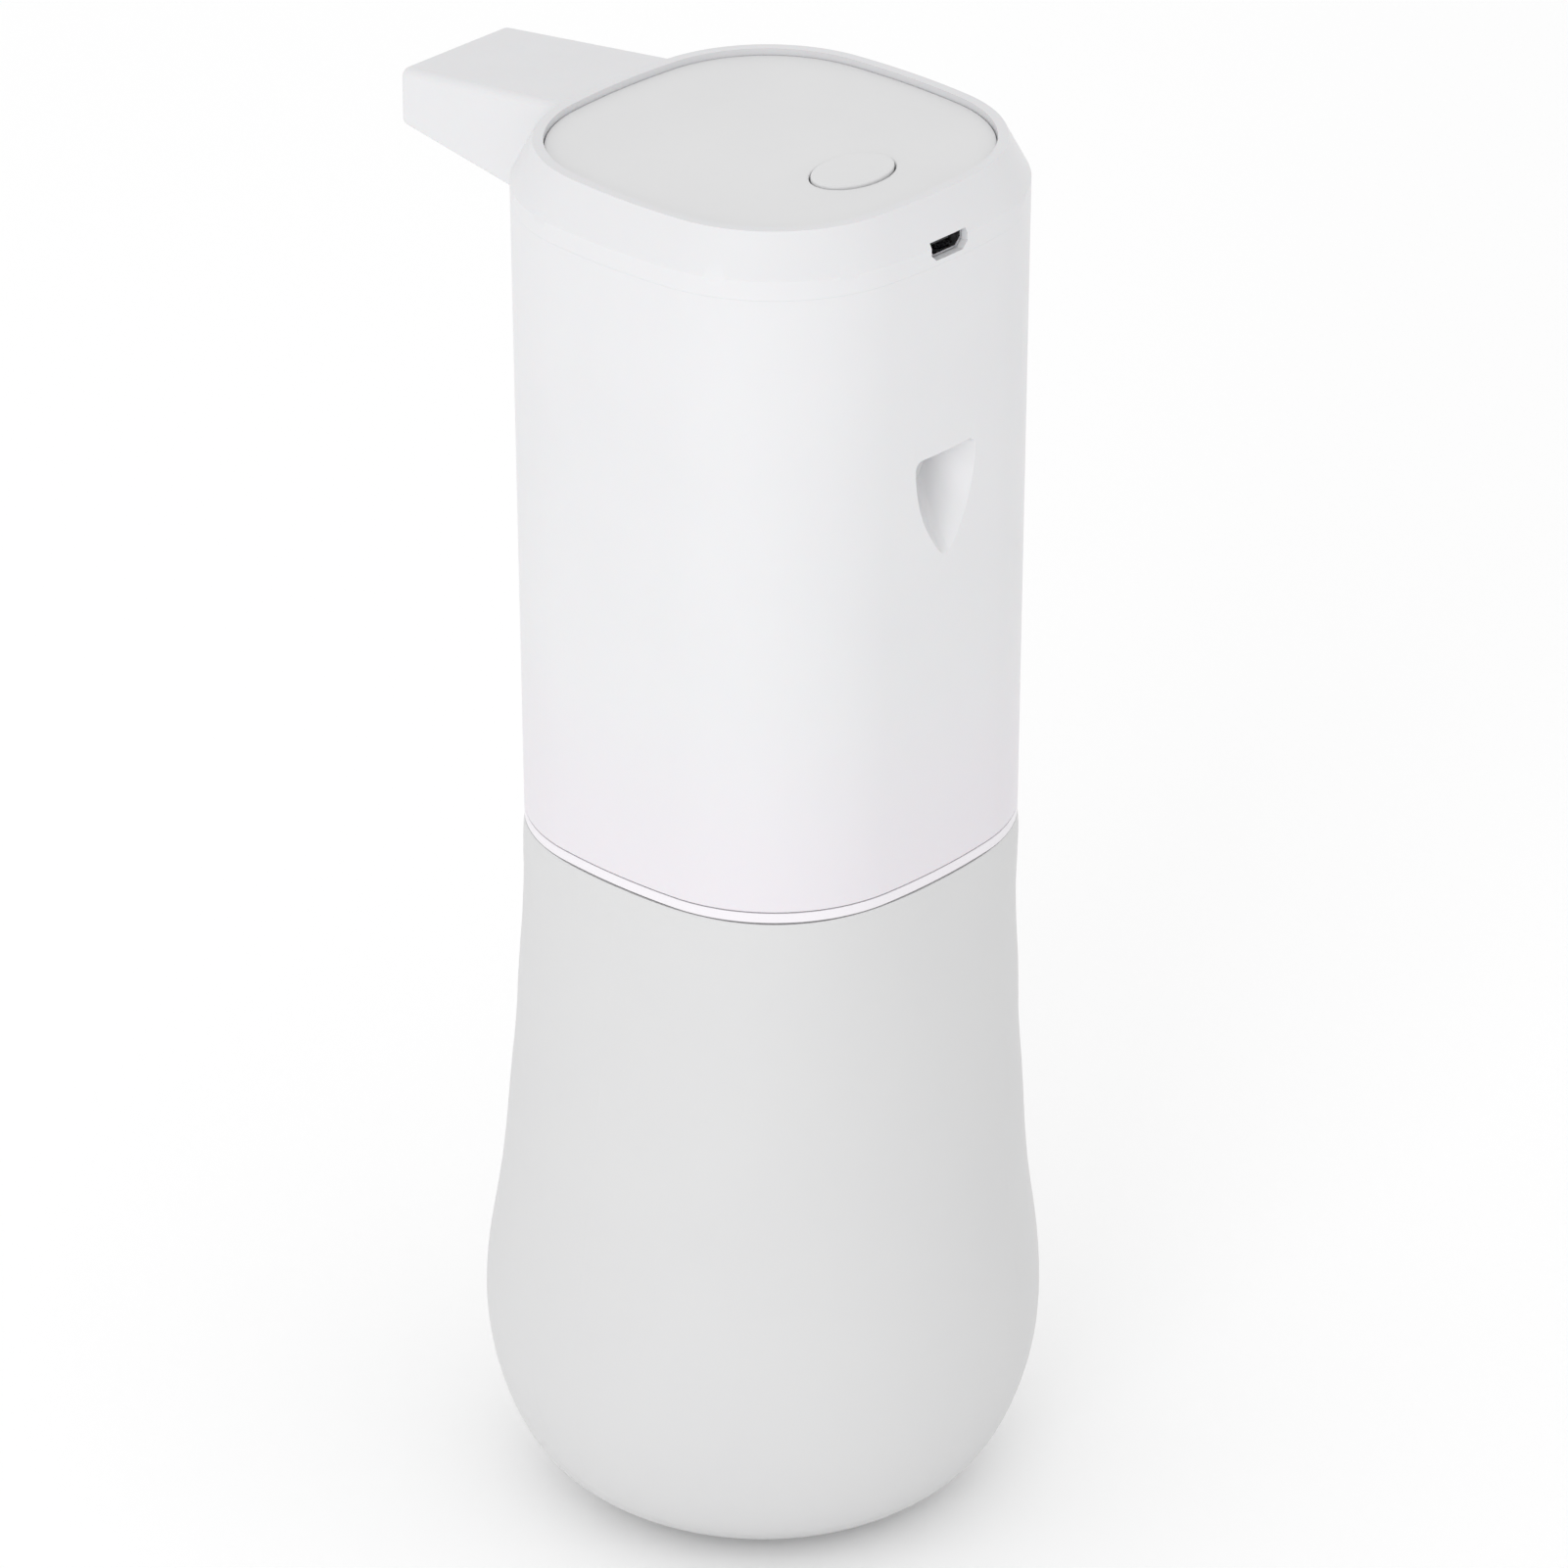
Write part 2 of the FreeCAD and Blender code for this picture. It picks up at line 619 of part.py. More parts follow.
collar = turned("bottle_collar", [
    (COLLAR_BORE, PLATE_BOTTOM), (COLLAR_RADIUS, PLATE_BOTTOM), (COLLAR_RADIUS, PLATE_TOP),
    (COLLAR_RADIUS + 1.7, PLATE_TOP), (COLLAR_RADIUS + 1.7, PLATE_TOP + 2), (COLLAR_RADIUS, PLATE_TOP + 2),
    (COLLAR_RADIUS, FRAME_BOTTOM - 0.1), (0, FRAME_BOTTOM - 0.1), (0, COLLAR_CEILING),
    (COLLAR_BORE, COLLAR_CEILING)])
tube_hole = new_sketch(collar, "XY_Plane", FRAME_BOTTOM)
circle(tube_hole, PUMP_X, d.pump_y, 4.1)
pocket(collar, tube_hole, FRAME_BOTTOM - COLLAR_CEILING + 1)
thread(collar, COLLAR_BORE, COLLAR_BORE - d.thread_depth, SHOULDER_TOP + d.thread_height - 2.4)
turned("tube_grommet", ring_profile(d.dip_radius + 0.05, d.dip_radius + 1.05, COLLAR_CEILING + 0.1,
                                    FRAME_BOTTOM - 0.1), PUMP_X, d.pump_y)


# ---- Main shell ----

main_shell = new_body("main_shell")
foot = new_sketch(main_shell, "XY_Plane", RING_TOP)
rounded_square(foot, skin(0, RING_TOP))
pad(main_shell, foot, SKIRT_TOP - RING_TOP, taper=d.draft_angle)
inside = new_sketch(main_shell, "XY_Plane", RING_TOP)
rounded_square(inside, skin(d.wall, RING_TOP))
pocket(main_shell, inside, SKIRT_TOP - RING_TOP, reverse=True, taper=d.draft_angle)

HOOK_TOP = d.bottle_height + d.hook_top
REAR = d.half_width - skin(0, HOOK_TOP)
hook_boss = new_sketch(main_shell, "XZ_Plane", -(REAR - d.wall / 2))
boss_margin = d.wall + 0.8
rectangle(hook_boss, -d.hook_half_width - boss_margin, HOOK_TOP - d.hook_length - boss_margin,
          d.hook_half_width + boss_margin, HOOK_TOP + boss_margin + 1)
pad(main_shell, hook_boss, d.hook_depth + d.wall / 2)


def shield_wire(half_width, length, top, y):
    """Point-down shield across the rear wall: level top edge, outward-bulging sides and rounded corners."""
    corner = d.hook_corner.number
    right = FreeCAD.Vector(half_width - corner, y, top - corner)
    tip = FreeCAD.Vector(0, y, top - length + corner)
    left = FreeCAD.Vector(corner - half_width, y, top - corner)
    sides = []
    for begin, end in ((right, tip), (tip, left)):
        run = end - begin
        outward = FreeCAD.Vector(-run.z, 0, run.x).normalize()
        middle = (begin + end) / 2 + outward * (run.Length * d.hook_bulge.number)
        sides.append(Part.Arc(begin, middle, end).toShape())
    edges = [Part.LineSegment(left, right).toShape()] + sides
    return Part.Wire(edges).makeOffset2D(corner)


# The recess narrows to under half its width and height at its floor.
FLOOR_WIDTH_SHARE = 0.4
FLOOR_LENGTH_SHARE = 0.42
hook_top = HOOK_TOP.number
rear = REAR.number
mouth = shield_wire(d.hook_half_width.number, d.hook_length.number, hook_top, rear + 0.6)
floor = shield_wire(d.hook_half_width.number * FLOOR_WIDTH_SHARE,
                    d.hook_length.number * FLOOR_LENGTH_SHARE,
                    hook_top + 0.8, rear - d.hook_depth.number)
recess_form = doc.addObject("Part::Feature", "recess_form")
recess_form.Shape = Part.makeLoft([mouth, floor], True, True)
recess = doc.addObject("PartDesign::Body", "hook_recess")
recess.BaseFeature = recess_form
cut = main_shell.newObject("PartDesign::Boolean", "hook_cut")
cut.setObjects([recess])
cut.Type = "Cut"

for x, y in corners:
    post = new_sketch(main_shell, "XY_Plane", PLATE_TOP)
    circle(post, x, y, d.boss_radius)
    pad(main_shell, post, d.boss_height)
    web = new_sketch(main_shell, "XY_Plane", PLATE_TOP)
    out = x.number / abs(x.number), y.number / abs(y.number)
    inner = 0.8
    outer = 4.4
    outline(web, [(x - out[0] * inner, y + out[1] * inner),
                  (x + out[0] * (outer - inner), y + out[1] * (outer + inner)),
                  (x + out[0] * (outer + inner), y + out[1] * (outer - inner)),
                  (x + out[0] * inner, y - out[1] * inner)])
    pad(main_shell, web, d.boss_height)
pilots = new_sketch(main_shell, "XY_Plane", FRAME_BOTTOM)
for x, y in corners:
    circle(pilots, x, y, d.pilot_radius)
pocket(main_shell, pilots, d.boss_height)

notch = new_sketch(main_shell, "XZ_Plane", d.half_width + 5)
notch_half = d.spout_root_width / 2 + d.fit_clearance
rectangle(notch, -notch_half, spout_bottom(SPOUT_ROOT) - d.fit_clearance, notch_half, SKIRT_TOP + 1)
pocket(main_shell, notch, 12)


# ---- Top cap with the spout ----

def spout_section(body, reach, half_width, bottom, top):
    sketch = new_sketch(body, "XZ_Plane", reach)
    rectangle(sketch, -half_width, bottom, half_width, top)
    return sketch


def at_tip(edge):
    return edge.BoundBox.YMin < 2 - d.spout_reach.number


def low_on_spout(edge):
    return edge.BoundBox.ZMax < spout_bottom(d.spout_reach).number + 1


top_cap = new_body("top_cap")
root_section = spout_section(top_cap, SPOUT_ROOT, spout_half_width(SPOUT_ROOT),
                             spout_bottom(SPOUT_ROOT), spout_top(SPOUT_ROOT))
tip_section = spout_section(top_cap, d.spout_reach, spout_half_width(d.spout_reach),
                            spout_bottom(d.spout_reach), spout_top(d.spout_reach))
spout = loft(top_cap, root_section, tip_section)
rounded = fillet(top_cap, spout, d.spout_round, lambda edge: at_tip(edge) and not low_on_spout(edge))
fillet(top_cap, rounded, d.spout_round * 0.4, lambda edge: at_tip(edge) and low_on_spout(edge))
skirt = new_sketch(top_cap, "XY_Plane", SKIRT_TOP)
rounded_square(skirt, skin(0, SKIRT_TOP))
pad(top_cap, skirt, CHAMFER_START - SKIRT_TOP, taper=d.draft_angle)
shoulder = new_sketch(top_cap, "XY_Plane", CHAMFER_START)
rounded_square(shoulder, skin(0, CHAMFER_START))
pad(top_cap, shoulder, d.chamfer_height, taper=-angle_of(d.chamfer_inset, d.chamfer_height))
lip = new_sketch(top_cap, "XY_Plane", SKIRT_TOP)
rounded_square(lip, skin(d.wall + d.fit_clearance, SKIRT_TOP))
rounded_square(lip, skin(d.wall + d.fit_clearance + d.lip_thickness, SKIRT_TOP))
pad(top_cap, lip, d.lip_height, reverse=True)
panel_seat = new_sketch(top_cap, "XY_Plane", RIM_TOP)
rounded_square(panel_seat, skin(d.chamfer_inset + d.rim_width, RIM_TOP))
pocket(top_cap, panel_seat, d.panel_depth + d.panel_thickness)
cavity = new_sketch(top_cap, "XY_Plane", SKIRT_TOP)
rounded_square(cavity, skin(d.wall + d.fit_clearance + d.lip_thickness, SKIRT_TOP))
pocket(top_cap, cavity, DECK_UNDERSIDE - SKIRT_TOP, reverse=True)
TUNNEL_START = SPOUT_ROOT - 3
tunnel_floor = spout_bottom(SPOUT_ROOT) - 3
tunnel_root = spout_section(top_cap, TUNNEL_START, spout_half_width(TUNNEL_START) - d.spout_wall,
                            tunnel_floor, DECK_UNDERSIDE)
tunnel_tip = spout_section(top_cap, d.spout_reach - d.spout_wall,
                           spout_half_width(d.spout_reach - d.spout_wall)
                           - d.spout_wall, tunnel_floor, spout_top(d.spout_reach) - d.spout_wall)
loft(top_cap, tunnel_root, tunnel_tip, "SubtractiveLoft")
board_posts = [(-d.post_x, -10), (d.post_x, -10), (-d.post_x, 22), (d.post_x, 22)]
posts = new_sketch(top_cap, "XY_Plane", BOARD_TOP)
for x, y in board_posts:
    circle(posts, x, y, d.post_radius)
pad(top_cap, posts, DECK_UNDERSIDE - BOARD_TOP)
post_pilots = new_sketch(top_cap, "XY_Plane", BOARD_TOP)
for x, y in board_posts:
    circle(post_pilots, x, y, d.pilot_radius)
pocket(top_cap, post_pilots, DECK_UNDERSIDE - BOARD_TOP, reverse=True)
button_way = new_sketch(top_cap, "XY_Plane", PANEL_UNDERSIDE)
ellipse(button_way, 0, d.button_position, d.button_half_length + d.button_gap,
        d.button_half_width + d.button_gap)
pocket(top_cap, button_way, d.deck_thickness)


def port_outline(sketch, margin):
    """Hexagon with bevelled lower corners, as a small charging plug has."""
    half_width = d.port_width / 2 + margin
    half_height = d.port_height / 2 + margin
    bevel = d.port_height * 0.4
    outline(sketch, [(-half_width, PORT_CENTRE + half_height),
                     (-half_width, PORT_CENTRE - half_height + bevel),
                     (bevel - half_width, PORT_CENTRE - half_height),
                     (half_width - bevel, PORT_CENTRE - half_height),
                     (half_width, PORT_CENTRE - half_height + bevel),
                     (half_width, PORT_CENTRE + half_height)])


port_way = new_sketch(top_cap, "XZ_Plane", 6 - d.half_width)
port_outline(port_way, as_size(0.2))
pocket(top_cap, port_way, 10)

top_panel = new_body("top_panel")
panel_sketch = new_sketch(top_panel, "XY_Plane", PANEL_UNDERSIDE)
rounded_square(panel_sketch, skin(d.chamfer_inset + d.rim_width + 0.12, RIM_TOP))
pad(top_panel, panel_sketch, d.panel_thickness)
panel_hole = new_sketch(top_panel, "XY_Plane", PANEL_TOP)
ellipse(panel_hole, 0, d.button_position, d.button_half_length + d.button_gap,
        d.button_half_width + d.button_gap)
pocket(top_panel, panel_hole, d.panel_thickness)

PLUNGER_TOP = BOARD_TOP + d.switch_height + 0.7
FLANGE_TOP = DECK_UNDERSIDE - 0.1
power_button = new_body("power_button")
flange = new_sketch(power_button, "XY_Plane", FLANGE_TOP)
ellipse(flange, 0, d.button_position, d.button_half_length + d.button_flange,
        d.button_half_width + d.button_flange)
pad(power_button, flange, 0.9, reverse=True)
button_stem = new_sketch(power_button, "XY_Plane", FLANGE_TOP)
ellipse(button_stem, 0, d.button_position, d.button_half_length, d.button_half_width)
pad(power_button, button_stem, PANEL_TOP + d.button_raise - FLANGE_TOP)
presser = new_sketch(power_button, "XY_Plane", PLUNGER_TOP)
circle(presser, 0, d.button_position, 1.6)
pad(power_button, presser, FLANGE_TOP - PLUNGER_TOP)


# ---- Underside of the spout ----

COVER_START = SPOUT_ROOT + 0.2
COVER_END = d.spout_reach - d.spout_wall - 0.1
cover = new_body("spout_cover")
cover_sections = [spout_section(cover, reach, spout_half_width(reach) - d.spout_wall - 0.1,
                                spout_bottom(reach),
                                spout_bottom(reach) + d.cover_thickness) for reach in (COVER_START,
                                                                                       COVER_END)]
loft(cover, *cover_sections)
cover_holes = new_sketch(cover, "XY_Plane", spout_bottom(SPOUT_ROOT) - 1)
circle(cover_holes, 0, -d.nozzle_position, d.nozzle_radius + 0.1)
rectangle(cover_holes, -d.window_width / 2 - 0.1, -d.window_position - d.window_length / 2 - 0.1,
          d.window_width / 2 + 0.1, -d.window_position + d.window_length / 2 + 0.1)
pocket(cover, cover_holes, 12, reverse=True)

window = new_body("sensor_window")
window_sketch = new_sketch(window, "YZ_Plane")
window_near = d.window_position - d.window_length / 2
window_far = d.window_position + d.window_length / 2
outline(window_sketch, [(-window_far, spout_bottom(window_far)), (-window_near, spout_bottom(window_near)),
                        (-window_near, spout_bottom(window_near) + d.cover_thickness),
                        (-window_far, spout_bottom(window_far) + d.cover_thickness)])
pad(window, window_sketch, d.window_width, middle=True)

NOZZLE_BOTTOM = spout_bottom(d.nozzle_position) - d.nozzle_stand_out
NOZZLE_SEAT = spout_bottom(d.nozzle_position) + d.cover_thickness + 1.3
nozzle = turned("foam_nozzle", [
    (d.nozzle_bore, NOZZLE_BOTTOM), (d.nozzle_radius, NOZZLE_BOTTOM), (d.nozzle_radius, NOZZLE_SEAT),
    (d.nozzle_radius + 0.8, NOZZLE_SEAT), (d.nozzle_radius + 0.8, NOZZLE_INLET + 2.6),
    (0, NOZZLE_INLET + 2.6),
    (0, NOZZLE_INLET + 1.4), (d.nozzle_bore, NOZZLE_INLET + 1.4)], 0, -d.nozzle_position)
BARB_END = 12.2 - d.nozzle_position
barb = new_sketch(nozzle, "XZ_Plane", -5)
circle(barb, 0, NOZZLE_INLET, 1.7)
pad(nozzle, barb, 7.5, reverse=True)
barb_bore = new_sketch(nozzle, "XZ_Plane", 0)
circle(barb_bore, 0, NOZZLE_INLET, 1.1)
pocket(nozzle, barb_bore, 14)
meshes = new_body("foam_meshes")
for level in (2.0, 3.6):
    mesh_sketch = new_sketch(meshes, "XY_Plane", NOZZLE_BOTTOM + level)
    circle(mesh_sketch, 0, -d.nozzle_position, d.nozzle_bore - 0.02)
    pad(meshes, mesh_sketch, 0.3)

SENSOR_BOARD = spout_bottom(d.window_position) + d.cover_thickness + 1.6
block("sensor_board", -7, 7, -d.window_position - 5, -d.window_position + 8, SENSOR_BOARD,
      SENSOR_BOARD + 0.8)
block("ir_emitter", -4.4, -1.6, -d.window_position - 1.4, -d.window_position + 1.4, SENSOR_BOARD - 1.1,
      SENSOR_BOARD)
block("ir_receiver", 1.6, 4.4, -d.window_position - 1.4, -d.window_position + 1.4, SENSOR_BOARD - 1.1,
      SENSOR_BOARD)


# ---- Control board under the cap ----

board = new_body("control_board")
board_sketch = new_sketch(board, "XY_Plane", BOARD_BOTTOM)
outline(board_sketch, [(-d.board_half_width, d.board_front), (d.board_half_width, d.board_front),
                       (d.board_half_width, BOARD_REAR - d.board_corner),
                       (d.board_half_width - d.board_corner, BOARD_REAR),
                       (d.board_corner - d.board_half_width, BOARD_REAR),
                       (-d.board_half_width, BOARD_REAR - d.board_corner)])
pad(board, board_sketch, d.board_thickness)
board_holes = new_sketch(board, "XY_Plane", BOARD_TOP)
for x, y in board_posts:
    circle(board_holes, x, y, d.pilot_radius + 0.35)
pocket(board, board_holes, d.board_thickness)
screws("board_screws", board_posts, BOARD_BOTTOM, BOARD_TOP + 3, 2.0, d.pilot_radius - 0.05, 1.3,
       upward=True)

PORT_FRONT = d.half_width - 0.35
port = new_body("charging_port")
port_shell = new_sketch(port, "XZ_Plane", -PORT_FRONT)
port_outline(port_shell, as_size(0))
pad(port, port_shell, d.port_depth)
port_inside = new_sketch(port, "XZ_Plane", -PORT_FRONT)
port_outline(port_inside, as_size(-0.3))
pocket(port, port_inside, d.port_depth - 0.6, reverse=True)
block("port_tongue", -1.9, 1.9, PORT_FRONT - d.port_depth + 0.65, PORT_FRONT - 0.9, PORT_CENTRE + 0.1,
      PORT_CENTRE + 0.7)

switch = block("button_switch", -3, 3, d.button_position - 3, d.button_position + 3, BOARD_TOP,
               BOARD_TOP + d.switch_height)
switch_well = new_sketch(switch, "XY_Plane", BOARD_TOP + d.switch_height)
circle(switch_well, 0, d.button_position, 1.7)
pocket(switch, switch_well, d.switch_height - 0.2)
turned("switch_plunger", [(0, PLUNGER_TOP - 1.3), (1.5, PLUNGER_TOP - 1.3), (1.5, PLUNGER_TOP),
                          (0, PLUNGER_TOP)],
       0, d.button_position)
chip_height = as_size(1.0)
block("control_chip", -7, -2, -2, 3, BOARD_BOTTOM - chip_height, BOARD_BOTTOM)
block("charger_chip", 3, 7, 18, 21, BOARD_BOTTOM - chip_height, BOARD_BOTTOM)
cylinders("board_capacitors", [(-10, 14), (-4, 14), (2, 13)], 2.4, BOARD_BOTTOM - 5.2, BOARD_BOTTOM)
headers = new_body("cable_headers")
header_sketch = new_sketch(headers, "XY_Plane", BOARD_BOTTOM)
for x_low, y_low in ((-3, -12.5), (6, -12.5), (-14.5, 2)):
    rectangle(header_sketch, x_low, y_low, x_low + 6, y_low + 4)
pad(headers, header_sketch, 3.5, reverse=True)


# ---- Inner frame, pump and motor ----

frame = new_body("inner_frame")
frame_sketch = new_sketch(frame, "XY_Plane", FRAME_BOTTOM)
rounded_square(frame_sketch, skin(d.wall + 0.6, FRAME_BOTTOM))
pad(frame, frame_sketch, d.frame_thickness)
frame_holes = new_sketch(frame, "XY_Plane", FRAME_TOP)
circle(frame_holes, PUMP_X, d.pump_y, 3.3)
for x, y in corners:
    circle(frame_holes, x, y, d.pilot_radius + 0.35)
pocket(frame, frame_holes, d.frame_thickness)
pedestal = new_sketch(frame, "XY_Plane", FRAME_TOP)
circle(pedestal, PUMP_X, d.pump_y, d.pump_radius - 4)
circle(pedestal, PUMP_X, d.pump_y, d.pump_radius - 2.6)
pad(frame, pedestal, PUMP_BASE - FRAME_TOP)
cup = new_sketch(frame, "XY_Plane", FRAME_TOP)
circle(cup, PUMP_X, d.pump_y, d.pump_radius + d.fit_clearance)
circle(cup, PUMP_X, d.pump_y, d.pump_radius + 1.6)
pad(frame, cup, PUMP_HEAD_TOP - FRAME_TOP)
cup_slot = new_sketch(frame, "XY_Plane", PUMP_HEAD_TOP)
rectangle(cup_slot, PUMP_X - 3.2, d.pump_y - d.pump_radius - 3, PUMP_X + 3.2, d.pump_y - d.pump_radius + 3)
pocket(frame, cup_slot, d.head_thickness)
screws("frame_screws", corners, FRAME_TOP, FRAME_TOP - 6, 2.1, d.pilot_radius - 0.05, 1.4)

def around_pump(count, radius, turn=0.0):
    """Equally spaced places on a circle about the pump's own axis."""
    places = []
    for index in range(count):
        angle = 2 * math.pi * index / count + math.radians(turn)
        places.append((as_size(radius) * math.cos(angle), as_size(radius) * math.sin(angle)))
    return places


def screw_ways(body, bottom, depth):
    """Clearance holes for the screws that clamp the pump's layers together."""
    sketch = new_sketch(body, "XY_Plane", bottom)
    for x, y in around_pump(3, PUMP_SCREW_CIRCLE):
        circle(sketch, x, y, PUMP_SCREW_RADIUS + 0.05)
    pocket(body, sketch, depth, reverse=True)


PUMP_SCREW_CIRCLE = d.pump_radius - 1.2
PUMP_SCREW_RADIUS = as_size(0.55)
OUTLET_HEIGHT = PUMP_BASE + d.head_thickness / 2
pump_head = turned("pump_head", [
    (1.1, FRAME_TOP - 3), (1.9, FRAME_TOP - 3), (1.9, PUMP_BASE), (d.pump_radius, PUMP_BASE),
    (d.pump_radius, PUMP_HEAD_TOP), (10, PUMP_HEAD_TOP), (10, PUMP_HEAD_TOP - 2),
    (1.1, PUMP_HEAD_TOP - 2)],
    PUMP_X, d.pump_y)
outlet = new_sketch(pump_head, "XZ_Plane", d.pump_radius - 1)
circle(outlet, 0, OUTLET_HEIGHT, 1.7)
pad(pump_head, outlet, 6)
outlet_bore = new_sketch(pump_head, "XZ_Plane", 9)
circle(outlet_bore, 0, OUTLET_HEIGHT, 1.0)
pocket(pump_head, outlet_bore, 12, reverse=True)
screw_ways(pump_head, PUMP_BASE, d.head_thickness)


valve_plate = new_body("valve_plate")
valve_sketch = new_sketch(valve_plate, "XY_Plane", PUMP_HEAD_TOP)
circle(valve_sketch, 0, 0, d.pump_radius)
pad(valve_plate, valve_sketch, d.valve_thickness)
valve_post = new_sketch(valve_plate, "XY_Plane", VALVE_TOP)
circle(valve_post, 0, 0, 1.8)
pad(valve_plate, valve_post, TILT_CENTRE - d.pin_radius - 0.15 - VALVE_TOP)
valve_ways = new_sketch(valve_plate, "XY_Plane", VALVE_TOP)
for x, y in around_pump(3, d.cup_circle, 60):
    circle(valve_ways, x, y, 1.0)
for x, y in around_pump(3, d.cup_circle - 3, 60):
    circle(valve_ways, x, y, 0.7)
pocket(valve_plate, valve_ways, d.valve_thickness)
screw_ways(valve_plate, PUMP_HEAD_TOP, d.valve_thickness)
locate(valve_plate, PUMP_X, d.pump_y)

valves = new_body("valve_flaps")
flap_sketch = new_sketch(valves, "XY_Plane", PUMP_HEAD_TOP - 0.05)
for x, y in around_pump(3, d.cup_circle - 1.4, 60):
    circle(flap_sketch, x, y, 2.7)
pad(valves, flap_sketch, 0.5, reverse=True)
locate(valves, PUMP_X, d.pump_y)

diaphragm = new_body("diaphragm")
sheet_sketch = new_sketch(diaphragm, "XY_Plane", VALVE_TOP)
circle(sheet_sketch, 0, 0, d.pump_radius)
circle(sheet_sketch, 0, 0, 2.2)
pad(diaphragm, sheet_sketch, d.diaphragm_thickness)
cups = new_sketch(diaphragm, "XY_Plane", DIAPHRAGM_TOP)
for x, y in around_pump(3, d.cup_circle, 60):
    circle(cups, x, y, d.cup_radius)
pad(diaphragm, cups, 2.8)
cup_hollows = new_sketch(diaphragm, "XY_Plane", VALVE_TOP)
for x, y in around_pump(3, d.cup_circle, 60):
    circle(cup_hollows, x, y, d.cup_radius - 0.7)
pocket(diaphragm, cup_hollows, d.diaphragm_thickness + 2.1, reverse=True)
cup_stems = new_sketch(diaphragm, "XY_Plane", DIAPHRAGM_TOP + 2.8)
for x, y in around_pump(3, d.cup_circle, 60):
    circle(cup_stems, x, y, 0.9)
pad(diaphragm, cup_stems, 0.8)
screw_ways(diaphragm, VALVE_TOP, d.diaphragm_thickness)
locate(diaphragm, PUMP_X, d.pump_y)

housing = turned("pump_housing", [
    (10.9, DIAPHRAGM_TOP), (d.pump_radius, DIAPHRAGM_TOP), (d.pump_radius, MOTOR_BOTTOM),
    (3.4, MOTOR_BOTTOM),
    (3.4, MOTOR_BOTTOM - 1), (10.9, MOTOR_BOTTOM - 1)], PUMP_X, d.pump_y)
screw_ways(housing, DIAPHRAGM_TOP, 8)

turned("motor_can", [
    (2.3, MOTOR_BOTTOM), (d.motor_radius, MOTOR_BOTTOM), (d.motor_radius, MOTOR_TOP),
    (d.motor_radius - d.motor_wall, MOTOR_TOP),
    (d.motor_radius - d.motor_wall, MOTOR_BOTTOM + d.motor_wall),
    (2.3, MOTOR_BOTTOM + d.motor_wall)], PUMP_X, d.pump_y)
turned("motor_end_cap", [
    (2.3, MOTOR_TOP - 1.5), (d.motor_radius - d.motor_wall - 0.02, MOTOR_TOP - 1.5),
    (d.motor_radius - d.motor_wall - 0.02, MOTOR_TOP), (4, MOTOR_TOP), (4, MOTOR_TOP + 1.5),
    (2.3, MOTOR_TOP + 1.5)],
    PUMP_X, d.pump_y)
bushes = new_body("motor_bushes")
for bottom in (MOTOR_BOTTOM - 0.8, MOTOR_TOP - 1.2):
    bush = new_sketch(bushes, "XY_Plane", bottom)
    circle(bush, 0, 0, 2.28)
    circle(bush, 0, 0, d.shaft_radius + d.running_clearance)
    pad(bushes, bush, 2.4)
locate(bushes, PUMP_X, d.pump_y)

MAGNET_RADIUS = d.motor_radius - d.motor_wall - 0.05
magnets = new_body("motor_magnets")
magnet_ring = new_sketch(magnets, "XY_Plane", MOTOR_BOTTOM + 3)
circle(magnet_ring, 0, 0, MAGNET_RADIUS)
circle(magnet_ring, 0, 0, MAGNET_RADIUS - 1.8)
pad(magnets, magnet_ring, 16)
magnet_gap = new_sketch(magnets, "XY_Plane", MOTOR_BOTTOM + 2)
rectangle(magnet_gap, -2, -13, 2, 13)
pocket(magnets, magnet_gap, 18, reverse=True)
locate(magnets, PUMP_X, d.pump_y)

turned("motor_shaft", [
    (0, HUB_TOP - 1.1), (d.shaft_radius, HUB_TOP - 1.1), (d.shaft_radius, MOTOR_TOP + 2.5),
    (0, MOTOR_TOP + 2.5)],
    PUMP_X, d.pump_y)

CORE_RADIUS = MAGNET_RADIUS - 2.2
core = new_body("armature_core")
core_sketch = new_sketch(core, "XY_Plane", MOTOR_BOTTOM + 4.5)
circle(core_sketch, 0, 0, CORE_RADIUS)
circle(core_sketch, 0, 0, d.shaft_radius + 0.01)
pad(core, core_sketch, 12)
core_slot = new_sketch(core, "XY_Plane", MOTOR_BOTTOM + 4.5)
outline(core_slot, [(3.2, -0.45), (4.2, -3.4), (7.2, -3.4), (7.8, -0.45), (12, -0.45), (12, 0.45),
                    (7.8, 0.45),
                    (7.2, 3.4), (4.2, 3.4), (3.2, 0.45)])
slot_cut = pocket(core, core_slot, 12, reverse=True)
polar(core, slot_cut, core_slot, 3)
locate(core, PUMP_X, d.pump_y)

windings = new_body("armature_windings")
for index in range(3):
    coil = new_sketch(windings, "XY_Plane", MOTOR_BOTTOM + 3.8)
    turn = 2 * math.pi * index / 3
    coil_corners = [(4.3, -3.1), (7.0, -3.1), (7.0, 3.1), (4.3, 3.1)]
    outline(coil, [(x * math.cos(turn) - y * math.sin(turn), x * math.sin(turn) + y * math.cos(turn))
                   for x, y in coil_corners])
    pad(windings, coil, 13.4)
locate(windings, PUMP_X, d.pump_y)

